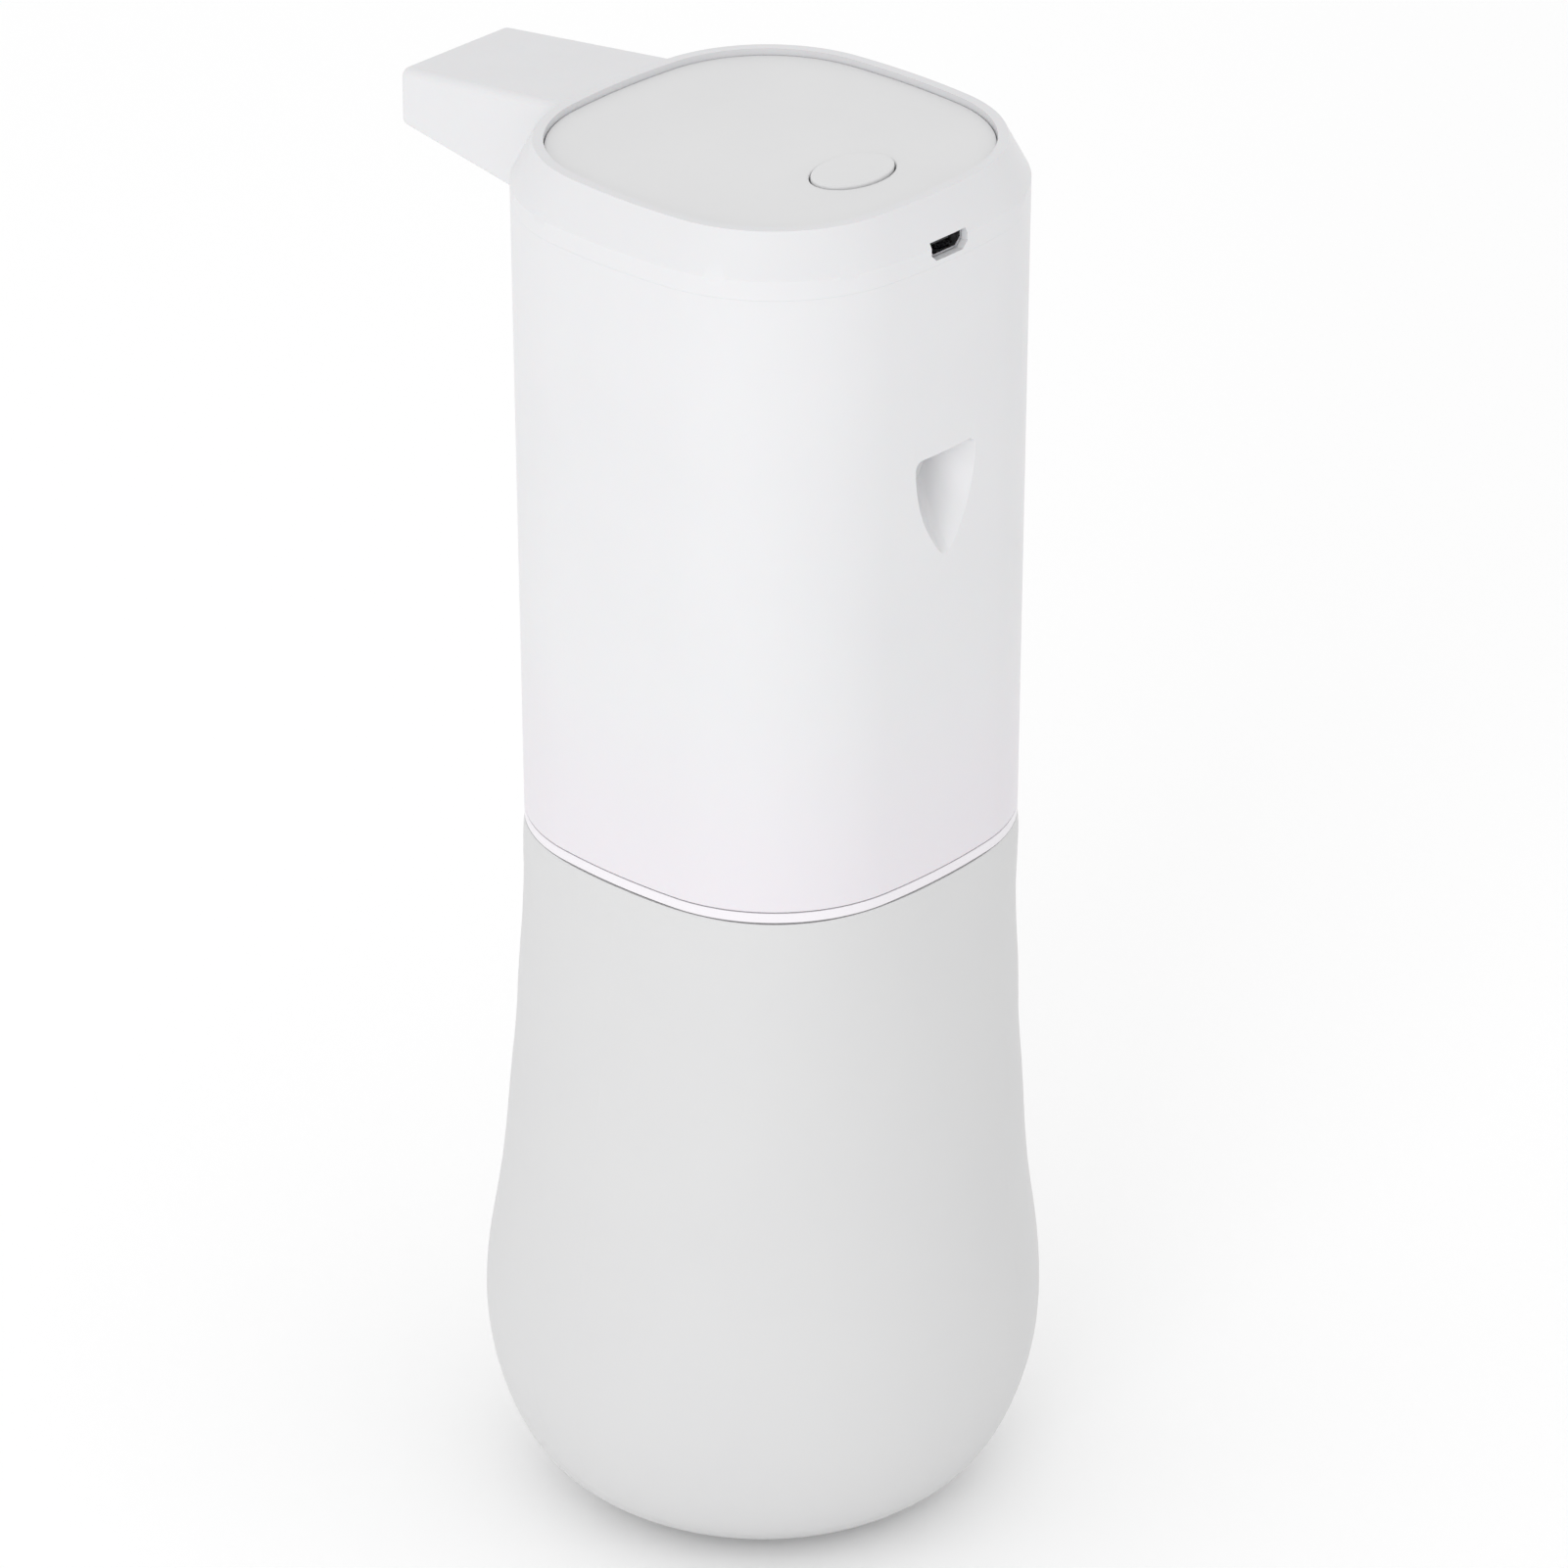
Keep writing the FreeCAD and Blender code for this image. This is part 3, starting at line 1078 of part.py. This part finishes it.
turned("commutator", ring_profile(d.shaft_radius + 0.01, 2.6, MOTOR_TOP - 5.5, MOTOR_TOP - 2.2), PUMP_X,
       d.pump_y)
brushes = new_body("motor_brushes")
brush_sketch = new_sketch(brushes, "XY_Plane", MOTOR_TOP - 4.8)
for side in (-1, 1):
    rectangle(brush_sketch, 2.75 if side > 0 else -5.5, -1, 5.5 if side > 0 else -2.75, 1)
pad(brushes, brush_sketch, 3.3)
locate(brushes, PUMP_X, d.pump_y)
terminals = new_body("motor_terminals")
terminal_sketch = new_sketch(terminals, "XY_Plane", MOTOR_TOP + 0.01)
for side in (-1, 1):
    rectangle(terminal_sketch, side * 7 - 0.25, -1.2, side * 7 + 0.25, 1.2)
pad(terminals, terminal_sketch, 4)
locate(terminals, PUMP_X, d.pump_y)


# ---- Tilting drive: a hub turns the slanted pin that rocks the swing frame ----

def tilt(body):
    """Lean the body about the nutation centre on the pump's axis."""
    locate(body, PUMP_X, d.pump_y, TILT_CENTRE)
    body.Placement.Rotation = FreeCAD.Rotation(FreeCAD.Vector(0, 1, 0), d.tilt.number)
    body.setExpression("Placement.Rotation.Angle", f"{d.tilt.text} * 1deg")


PIN_LENGTH = HUB_BOTTOM + 3.2 - TILT_CENTRE
hub = turned("eccentric_hub", [(0, HUB_BOTTOM), (4.6, HUB_BOTTOM), (4.6, HUB_TOP), (0, HUB_TOP)],
             PUMP_X, d.pump_y)
shaft_seat = new_sketch(hub, "XY_Plane", HUB_TOP)
circle(shaft_seat, 0, 0, d.shaft_radius + 0.01)
pocket(hub, shaft_seat, 1.2)
pin_bore = new_sketch(hub, "XY_Plane")
circle(pin_bore, 0, 0, d.pin_radius + d.running_clearance)
pin_bore.setExpression("AttachmentOffset.Base.z", TILT_CENTRE.text)
pin_bore.AttachmentOffset = FreeCAD.Placement(FreeCAD.Vector(0, 0, TILT_CENTRE.number),
                                              FreeCAD.Rotation(FreeCAD.Vector(0, 1, 0), d.tilt.number))
pin_bore.setExpression("AttachmentOffset.Rotation.Angle", f"{d.tilt.text} * 1deg")
pocket(hub, pin_bore, PIN_LENGTH + 0.3, reverse=True)

pin = new_body("drive_pin")
pin_profile = new_sketch(pin, "XY_Plane")
circle(pin_profile, 0, 0, d.pin_radius)
pad(pin, pin_profile, PIN_LENGTH)
tilt(pin)

swing = new_body("swing_frame")
swing_sketch = new_sketch(swing, "XY_Plane", SWING_BOTTOM - TILT_CENTRE)
circle(swing_sketch, 0, 0, 3.0)
pad(swing, swing_sketch, SWING_THICKNESS)
arm_sketch = new_sketch(swing, "XY_Plane", SWING_BOTTOM - TILT_CENTRE)
rectangle(arm_sketch, -d.arm_reach, -1.6, -1.2, 1.6)
arm_pad = pad(swing, arm_sketch, SWING_THICKNESS * 0.7)
polar(swing, arm_pad, arm_sketch, 3)
swing_bore = new_sketch(swing, "XY_Plane", SWING_BOTTOM - TILT_CENTRE)
circle(swing_bore, 0, 0, d.pin_radius + 0.01)
pocket(swing, swing_bore, SWING_THICKNESS, reverse=True)
tilt(swing)

pump_screws = screws("pump_screws", around_pump(3, PUMP_SCREW_CIRCLE), PUMP_BASE, DIAPHRAGM_TOP + 7.5,
                     1.1, PUMP_SCREW_RADIUS, 1.0, upward=True)
locate(pump_screws, PUMP_X, d.pump_y)


# ---- Battery ----

cell_bottom = FRAME_TOP + 3.5
cell_top = cell_bottom + d.cell_length
turned("battery_cell", [
    (0, cell_bottom), (d.cell_radius - 0.6, cell_bottom), (d.cell_radius, cell_bottom + 0.6),
    (d.cell_radius, cell_top - 1.4), (d.cell_radius - 0.6, cell_top - 0.9), (2.8, cell_top - 0.9),
    (2.8, cell_top),
    (0, cell_top)], d.cell_x, d.cell_y)
HOLDER_RADIUS = d.cell_radius + 0.2
holder = turned("battery_holder", [
    (0, FRAME_TOP), (HOLDER_RADIUS + 1.4, FRAME_TOP), (HOLDER_RADIUS + 1.4, cell_top + 2.4),
    (0, cell_top + 2.4),
    (0, cell_top + 1), (HOLDER_RADIUS, cell_top + 1), (HOLDER_RADIUS, FRAME_TOP + 1.4),
    (0, FRAME_TOP + 1.4)],
    d.cell_x, d.cell_y)
holder_front = new_sketch(holder, "XY_Plane", FRAME_TOP + 8)
rectangle(holder_front, 0.5, -13, 13, 13)
pocket(holder, holder_front, d.cell_length - 10, reverse=True)
contacts = new_body("battery_contacts")
for radius, bottom, top in ((3.2, cell_top + 0.02, cell_top + 0.8),
                            (5.5, FRAME_TOP + 1.45, cell_bottom - 0.02)):
    contact = new_sketch(contacts, "XY_Plane", bottom)
    circle(contact, 0, 0, radius)
    pad(contacts, contact, top - bottom)
locate(contacts, d.cell_x, d.cell_y)


# ---- Hose and leads inside the head ----

hose_start = d.pump_y - d.pump_radius - 1.5
hose_front = -d.half_width + 9
bent_tubes("foam_hose", [[
    (PUMP_X, hose_start, OUTLET_HEIGHT), (PUMP_X, hose_front, OUTLET_HEIGHT), (PUMP_X, hose_front, 196),
    (0, hose_front, NOZZLE_INLET), (0, BARB_END - 4.3, NOZZLE_INLET)]],
    d.tube_radius, d.tube_bore, 6)

lead_top = BOARD_BOTTOM - 3.7
lead_turn = lead_top - 3
sides = (-1, 1)
bent_tubes("motor_leads", [[
    (PUMP_X + side * 7, d.pump_y, MOTOR_TOP + 4.7), (PUMP_X + side * 7, d.pump_y, lead_turn - 5),
    (-11.5 + side * 0.9, 4, lead_turn), (-11.5 + side * 0.9, 4, lead_top)] for side in sides],
    d.lead_radius, None, 1.2)
bent_tubes("battery_leads", [[
    (d.cell_x - 4 + side * 2, d.cell_y, cell_top + 2.6), (d.cell_x - 4 + side * 2, d.cell_y, lead_turn),
    (9 + side * 1.2, -10.5, lead_turn), (9 + side * 1.2, -10.5, lead_top)] for side in sides],
    d.lead_radius, None, 1.2)
sensor_lead_height = SENSOR_BOARD + 0.4
bent_tubes("sensor_leads", [[
    (side * 0.9 + 5, -d.window_position + 8.7, sensor_lead_height),
    (side * 0.9 + 5, -d.half_width + 10, sensor_lead_height),
    (side * 0.9, -10.5, lead_turn), (side * 0.9, -10.5, lead_top)] for side in sides],
    d.lead_radius, None, 1.2)


# ---- Check every object and write the parts ----

doc.recompute()
for item in doc.Objects:
    if "Invalid" in item.State or "Error" in item.State:
        raise RuntimeError(f"{item.Name} failed: {item.State}")
os.makedirs("parts", exist_ok=True)
for item in sub_parts:
    shape = item.Shape
    if shape.isNull() or not shape.isValid() or not shape.Solids:
        raise RuntimeError(f"{item.Label} has no valid solid")
for item in sub_parts:
    item.Shape.exportStep(f"parts/{item.Label}.step")
print(len(sub_parts), "sub-parts written")
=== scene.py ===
import json
import math

import bmesh
import bpy
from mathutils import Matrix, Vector


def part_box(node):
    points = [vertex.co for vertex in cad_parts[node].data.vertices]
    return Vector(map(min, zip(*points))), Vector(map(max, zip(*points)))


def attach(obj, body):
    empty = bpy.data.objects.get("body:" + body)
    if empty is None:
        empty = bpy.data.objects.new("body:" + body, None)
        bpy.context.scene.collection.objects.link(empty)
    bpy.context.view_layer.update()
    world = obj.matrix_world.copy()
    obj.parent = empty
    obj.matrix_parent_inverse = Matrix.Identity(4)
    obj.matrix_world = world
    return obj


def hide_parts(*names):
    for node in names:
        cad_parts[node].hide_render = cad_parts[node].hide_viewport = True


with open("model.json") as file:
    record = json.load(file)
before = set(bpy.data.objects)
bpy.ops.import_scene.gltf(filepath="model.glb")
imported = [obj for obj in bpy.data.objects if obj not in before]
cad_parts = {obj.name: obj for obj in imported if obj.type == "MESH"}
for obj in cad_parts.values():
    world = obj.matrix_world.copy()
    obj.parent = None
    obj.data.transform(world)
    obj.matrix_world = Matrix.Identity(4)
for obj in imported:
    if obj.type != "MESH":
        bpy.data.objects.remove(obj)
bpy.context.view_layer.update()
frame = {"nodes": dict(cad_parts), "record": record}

NODES = frame["nodes"]
MM = 0.001
BODY_OF = {node: body
           for body, nodes in frame["record"]["behaviour"]["bodies"].items()
           for node in nodes}


# ---------------------------------------------------------------- camera and light

AZIMUTH = math.radians(132.473)
ELEVATION = math.radians(27.264)
DISTANCE = 1.3456
TARGET = Vector((-1.33, 1.45, 119.95)) * MM
LENS = 203.0
SENSOR = 36.0
BACK = Vector((math.sin(AZIMUTH) * math.cos(ELEVATION), -math.cos(AZIMUTH) * math.cos(ELEVATION),
               math.sin(ELEVATION)))
TOWARDS_CAMERA = Vector((BACK.x, BACK.y, 0)).normalized()
LEFT = Vector((-math.cos(AZIMUTH), -math.sin(AZIMUTH), 0))
UP = Vector((0, 0, 1))
KEY_AIM = Vector((0, 0, 0.17))
KEY_OFFSET = TOWARDS_CAMERA * 1.15 + LEFT * 0.42 + UP * 0.14
KEY_SIZE = (0.5, 0.7)
KEY_POWER = 3.9


def make_camera():
    data = bpy.data.cameras.new("camera")
    data.lens = LENS
    data.sensor_width = SENSOR
    camera = bpy.data.objects.new("camera", data)
    camera.location = TARGET + BACK * DISTANCE
    camera.rotation_mode = "QUATERNION"
    camera.rotation_quaternion = (-BACK).to_track_quat("-Z", "Y")
    bpy.context.scene.collection.objects.link(camera)
    bpy.context.scene.camera = camera


def area_light(name, place, aim, size, power):
    data = bpy.data.lights.new(name, "AREA")
    data.shape = "RECTANGLE"
    data.size, data.size_y = size
    data.energy = power
    light = bpy.data.objects.new(name, data)
    light.location = place
    light.rotation_mode = "QUATERNION"
    light.rotation_quaternion = (aim - place).to_track_quat("-Z", "Y")
    bpy.context.scene.collection.objects.link(light)


def make_light():
    world = bpy.data.worlds.new("studio")
    world.use_nodes = True
    background = world.node_tree.nodes["Background"]
    background.inputs["Color"].default_value = (1.0, 1.0, 1.0, 1)
    background.inputs["Strength"].default_value = 1.0
    bpy.context.scene.world = world
    area_light("key", KEY_AIM + KEY_OFFSET, KEY_AIM, KEY_SIZE, KEY_POWER)
    scene = bpy.context.scene
    scene.view_settings.view_transform = "Standard"
    scene.view_settings.look = "None"


# ---------------------------------------------------------------- materials

class Surface:
    """One procedural material, built round a Principled shader in the frame's own coordinates."""

    # The Mix node's colour sockets share their names with its other types, so they go by number.
    MIX_FIRST = 6
    MIX_SECOND = 7
    MIX_RESULT = 2

    def __init__(self, name):
        self.material = bpy.data.materials.new(name)
        self.material.use_nodes = True
        self.tree = self.material.node_tree
        self.shader = self.tree.nodes["Principled BSDF"]
        self.place = self.tree.nodes.new("ShaderNodeTexCoord").outputs["Object"]
        self.bumped = None

    def node(self, kind, inputs=(), **settings):
        made = self.tree.nodes.new("ShaderNode" + kind)
        for key, value in settings.items():
            setattr(made, key, value)
        for key, value in dict(inputs).items():
            self.feed(made.inputs[key], value)
        return made

    def feed(self, socket, value):
        if isinstance(value, bpy.types.NodeSocket):
            self.tree.links.new(value, socket)
        else:
            socket.default_value = value

    def set(self, **values):
        for key, value in values.items():
            self.feed(self.shader.inputs[key.replace("_", " ")], value)

    def stretched(self, scale):
        return self.node("Mapping", {"Vector": self.place, "Scale": scale}).outputs["Vector"]

    def noise(self, scale, detail=3.0, roughness=0.5, distortion=0.0, vector=None):
        return self.node("TexNoise", {"Vector": vector or self.place, "Scale": scale, "Detail": detail,
                                      "Roughness": roughness, "Distortion": distortion}).outputs["Fac"]

    def cells(self, scale):
        return self.node("TexVoronoi", {"Vector": self.place, "Scale": scale}).outputs["Distance"]

    def between(self, fac, low, high, start=0.3, end=0.7):
        return self.node("MapRange", {"Value": fac, "From Min": start, "From Max": end,
                                      "To Min": low, "To Max": high}).outputs["Result"]

    def layer(self, fac, under, over):
        mix = self.node("Mix", {"Factor": fac}, data_type="RGBA")
        self.feed(mix.inputs[self.MIX_FIRST], under)
        self.feed(mix.inputs[self.MIX_SECOND], over)
        return mix.outputs[self.MIX_RESULT]

    def tint(self, fac, first, second):
        return self.layer(fac, (*first, 1), (*second, 1))

    def bump(self, fac, depth, strength=1.0):
        inputs = {"Height": fac, "Distance": depth, "Strength": strength}
        if self.bumped:
            inputs["Normal"] = self.bumped
        self.bumped = self.node("Bump", inputs).outputs["Normal"]
        self.feed(self.shader.inputs["Normal"], self.bumped)


def along_z(surface, low, high):
    """Rises smoothly from 0 at the lower height to 1 at the upper one."""
    z = surface.node("SeparateXYZ", {"Vector": surface.place}).outputs["Z"]
    return surface.node("MapRange", {"Value": z, "From Min": low, "From Max": high},
                        interpolation_type="SMOOTHSTEP").outputs["Result"]


def moulded(name, light, dark, gloss, grain, scuffs=0.06):
    """Injection-moulded plastic: faint flow mottling, spark-eroded grain and hairline handling marks."""
    made = Surface(name)
    mottling = made.noise(38, 4, 0.55)
    made.set(Base_Color=made.tint(made.between(mottling, 0, 1), dark, light))
    hairs = made.noise(420, 2, 0.6, 0.4, made.stretched((1.0, 1.0, 0.08)))
    worn = made.node("Math", {0: made.between(made.noise(150, 5, 0.6), gloss - 0.03, gloss + 0.04),
                              1: made.between(hairs, 0, scuffs, 0.62, 0.72)}, operation="ADD")
    made.set(Roughness=worn.outputs[0])
    made.bump(made.noise(2600, 2, 0.6), grain * MM)
    made.bump(made.noise(90, 2, 0.5), 0.02 * MM, 0.35)
    return made


# The head's plastic turns faintly lilac over this much of its height, from below its lower edge.
LILAC_BELOW = 4 * MM
LILAC_ABOVE = 38 * MM


def gloss_shell():
    made = moulded("gloss_shell", (0.692, 0.692, 0.704), (0.678, 0.678, 0.691), 0.32, 0.0035, 0.05)
    upper = made.shader.inputs["Base Color"].links[0].from_socket
    lower_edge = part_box("main_shell")[0].z
    fade = along_z(made, lower_edge - LILAC_BELOW, lower_edge + LILAC_ABOVE)
    lilac = made.tint(made.noise(20, 2), (0.690, 0.664, 0.698), (0.702, 0.676, 0.710))
    made.set(Base_Color=made.layer(fade, lilac, upper))
    made.set(Specular_IOR_Level=0.36, Subsurface_Weight=0.05, Subsurface_Scale=0.6 * MM)
    return made


def ring_gloss():
    """The trim ring's own batch of plastic: a shade lighter and glossier than the shell above it."""
    made = moulded("ring_gloss", (0.760, 0.738, 0.768), (0.745, 0.722, 0.752), 0.30, 0.002, 0.04)
    made.set(Coat_Weight=0.1, Coat_Roughness=0.15)
    return made


def top_plate():
    return moulded("top_plate", (0.700, 0.700, 0.703), (0.682, 0.682, 0.686), 0.42, 0.006)


def bottle_wall():
    made = moulded("bottle_wall", (0.618, 0.618, 0.620), (0.608, 0.608, 0.612), 0.46, 0.005)
    made.set(Specular_IOR_Level=0.30)
    made.set(Subsurface_Weight=0.15, Subsurface_Scale=1.6 * MM, Subsurface_Radius=(1.0, 0.92, 0.85))
    flow = made.noise(16, 3, 0.5, 0.2, made.stretched((1.0, 1.0, 0.22)))
    made.bump(flow, 0.06 * MM, 0.5)
    return made


def dark_lens():
    made = Surface("dark_lens")
    clouds = made.between(made.noise(300, 3), 0, 1)
    made.set(Base_Color=made.tint(clouds, (0.012, 0.006, 0.010), (0.020, 0.010, 0.016)))
    made.set(Roughness=made.between(made.noise(500, 4), 0.05, 0.14), Coat_Weight=0.7, Coat_Roughness=0.04)
    made.bump(made.noise(160, 2), 0.01 * MM)
    return made


def rubber(name, light, dark, roughness):
    made = Surface(name)
    made.set(Base_Color=made.tint(made.between(made.noise(120, 4), 0, 1), dark, light))
    made.set(Roughness=made.between(made.noise(700, 3), roughness - 0.08, roughness + 0.08))
    made.set(Subsurface_Weight=0.15, Subsurface_Scale=1.0 * MM)
    made.bump(made.noise(1500, 3, 0.6), 0.012 * MM)
    return made


def circuit_board():
    made = Surface("circuit_board")
    mask = made.tint(made.between(made.noise(60, 3), 0, 1), (0.010, 0.105, 0.045), (0.016, 0.150, 0.062))
    tracks = made.node("TexBrick", {"Vector": made.stretched((1, 1, 0.02)), "Scale": 190.0,
                                    "Mortar Size": 0.055, "Brick Width": 0.9, "Row Height": 0.32},
                       offset=0.37).outputs["Fac"]
    over_copper = made.tint(0.5, (0.030, 0.230, 0.085), (0.045, 0.260, 0.100))
    made.set(Base_Color=made.layer(made.between(tracks, 0, 0.8, 0.4, 0.6), mask, over_copper))
    made.set(Roughness=made.between(made.noise(900, 3), 0.24, 0.38), Coat_Weight=0.3, Coat_Roughness=0.12)
    made.bump(tracks, 0.035 * MM)
    made.bump(made.cells(1400), 0.008 * MM)
    return made


def metal(name, light, dark, roughness, brushed=(1, 1, 1), scale=900):
    made = Surface(name)
    streaks = made.noise(scale, 4, 0.6, 0.0, made.stretched(brushed))
    made.set(Metallic=1.0, Base_Color=made.tint(made.between(streaks, 0, 1), dark, light))
    blotches = made.node("Math", {0: made.between(streaks, roughness - 0.06, roughness + 0.08),
                                  1: made.between(made.noise(110, 4, 0.6), 0, 0.07)}, operation="ADD")
    made.set(Roughness=blotches.outputs[0])
    made.bump(streaks, 0.004 * MM)
    return made


def ferrite():
    made = Surface("magnet")
    grains = made.between(made.noise(500, 5, 0.7), 0, 1)
    made.set(Base_Color=made.tint(grains, (0.030, 0.030, 0.033), (0.065, 0.063, 0.062)))
    made.set(Roughness=made.between(made.noise(1200, 4), 0.55, 0.8))
    made.bump(made.cells(2200), 0.02 * MM)
    return made


def windings():
    made = metal("copper", (0.72, 0.28, 0.11), (0.52, 0.17, 0.06), 0.26)
    wires = made.node("TexWave", {"Vector": made.place, "Scale": 640.0, "Distortion": 0.6, "Detail": 2.0},
                      bands_direction="DIAGONAL").outputs["Fac"]
    made.bump(wires, 0.12 * MM)
    made.set(Coat_Weight=0.5, Coat_Roughness=0.15)
    return made


def cell_wrap():
    made = Surface("cell_wrap")
    sleeve = made.tint(made.between(made.noise(45, 3), 0, 1), (0.012, 0.060, 0.190), (0.018, 0.085, 0.250))
    band = made.node("TexWave", {"Vector": made.place, "Scale": 14.0, "Distortion": 0.0},
                     bands_direction="Z", wave_profile="SIN").outputs["Fac"]
    stripe = made.tint(0.5, (0.35, 0.38, 0.42), (0.4, 0.43, 0.46))
    made.set(Base_Color=made.layer(made.between(band, 0, 0.22, 0.90, 0.96), sleeve, stripe))
    made.set(Roughness=made.between(made.noise(350, 4), 0.18, 0.34))
    made.bump(made.noise(130, 4, 0.6, 0.8), 0.05 * MM, 0.6)
    return made


MATERIALS = {
    "gloss_shell": gloss_shell,
    "top_plate": top_plate,
    "bottle_wall": bottle_wall,
    "dark_lens": dark_lens,
    "grey_plastic": lambda: moulded("grey_plastic", (0.30, 0.31, 0.33), (0.25, 0.26, 0.28), 0.5, 0.02),
    "black_plastic": lambda: moulded("black_plastic", (0.022, 0.022, 0.024), (0.012, 0.012, 0.013),
                                     0.42, 0.02),
    "seal_rubber": lambda: rubber("seal_rubber", (0.66, 0.66, 0.63), (0.58, 0.58, 0.55), 0.45),
    "hose_rubber": lambda: rubber("hose_rubber", (0.70, 0.72, 0.71), (0.62, 0.64, 0.63), 0.3),
    "circuit_board": circuit_board,
    "steel": lambda: metal("steel", (0.66, 0.66, 0.68), (0.50, 0.50, 0.52), 0.24, (1, 1, 0.15)),
    "magnet": ferrite,
    "copper": windings,
    "brass": lambda: metal("brass", (0.80, 0.58, 0.26), (0.62, 0.42, 0.16), 0.24),
    "cell_wrap": cell_wrap,
    "lead_sleeve": lambda: rubber("lead_sleeve", (0.46, 0.016, 0.012), (0.36, 0.010, 0.008), 0.4),
}


def dress_nodes():
    """Gives every node the finished material of its slot, and returns each node's slot."""
    slots = {name: node.data.materials[0].name for name, node in NODES.items()}
    finished = {slot: MATERIALS[slot]().material for slot in sorted(set(slots.values()))}
    for name, node in NODES.items():
        node.data.materials[0] = finished[slots[name]]
    return slots


# ---------------------------------------------------------------- softened edges

WELD_DISTANCE = 1e-6
FLAT_ANGLE = math.radians(0.4)
CORNER_ANGLE = math.radians(28)
SHARP_ANGLE = math.radians(40)
BEVEL_SEGMENTS = 3


def softened(name, node, width, finish=None):
    """The node's own shape with its corners broken by a moulding radius, as a welded mesh."""
    source = NODES[node]
    mesh = bmesh.new()
    mesh.from_mesh(source.data)
    bmesh.ops.remove_doubles(mesh, verts=mesh.verts[:], dist=WELD_DISTANCE)
    bmesh.ops.dissolve_limit(mesh, angle_limit=FLAT_ANGLE, verts=mesh.verts[:], edges=mesh.edges[:])
    corners = [edge for edge in mesh.edges
               if edge.is_manifold and edge.calc_face_angle(0) > CORNER_ANGLE]
    bmesh.ops.bevel(mesh, geom=corners, offset=width * MM, offset_type="OFFSET", segments=BEVEL_SEGMENTS,
                    profile=0.5, affect="EDGES", clamp_overlap=True)
    bmesh.ops.triangulate(mesh, faces=[face for face in mesh.faces if len(face.verts) > 4])
    data = bpy.data.meshes.new(name)
    mesh.to_mesh(data)
    mesh.free()
    data.shade_smooth()
    data.set_sharp_from_angle(angle=SHARP_ANGLE)
    data.materials.append(finish or source.data.materials[0])
    piece = bpy.data.objects.new(name, data)
    bpy.context.scene.collection.objects.link(piece)
    weighted = piece.modifiers.new("weighted", "WEIGHTED_NORMAL")
    weighted.keep_sharp = True
    weighted.weight = 80
    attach(piece, BODY_OF[node])
    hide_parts(node)


def make_pieces():
    softened("shell_moulding", "main_shell", 0.35)
    softened("cap_moulding", "top_cap", 0.35)
    softened("panel_moulding", "top_panel", 0.3)
    softened("button_moulding", "power_button", 0.3)
    softened("ring_moulding", "base_ring", 0.2, finish=ring_gloss().material)


# ---------------------------------------------------------------- floor

FLOOR_HALF = 4.0


def make_floor():
    mesh = bpy.data.meshes.new("floor")
    corners = [(x * FLOOR_HALF, y * FLOOR_HALF, 0) for x, y in ((-1, -1), (1, -1), (1, 1), (-1, 1))]
    mesh.from_pydata(corners, [], [(0, 1, 2, 3)])
    made = Surface("floor")
    patches = made.between(made.noise(1.5, 2), 0, 1)
    made.set(Base_Color=made.tint(patches, (0.972, 0.972, 0.972), (0.980, 0.980, 0.980)))
    made.set(Roughness=0.9, Specular_IOR_Level=0.1)
    mesh.materials.append(made.material)
    floor = bpy.data.objects.new("floor", mesh)
    bpy.context.scene.collection.objects.link(floor)


make_camera()
make_light()
SLOT_OF = dress_nodes()
make_pieces()
make_floor()
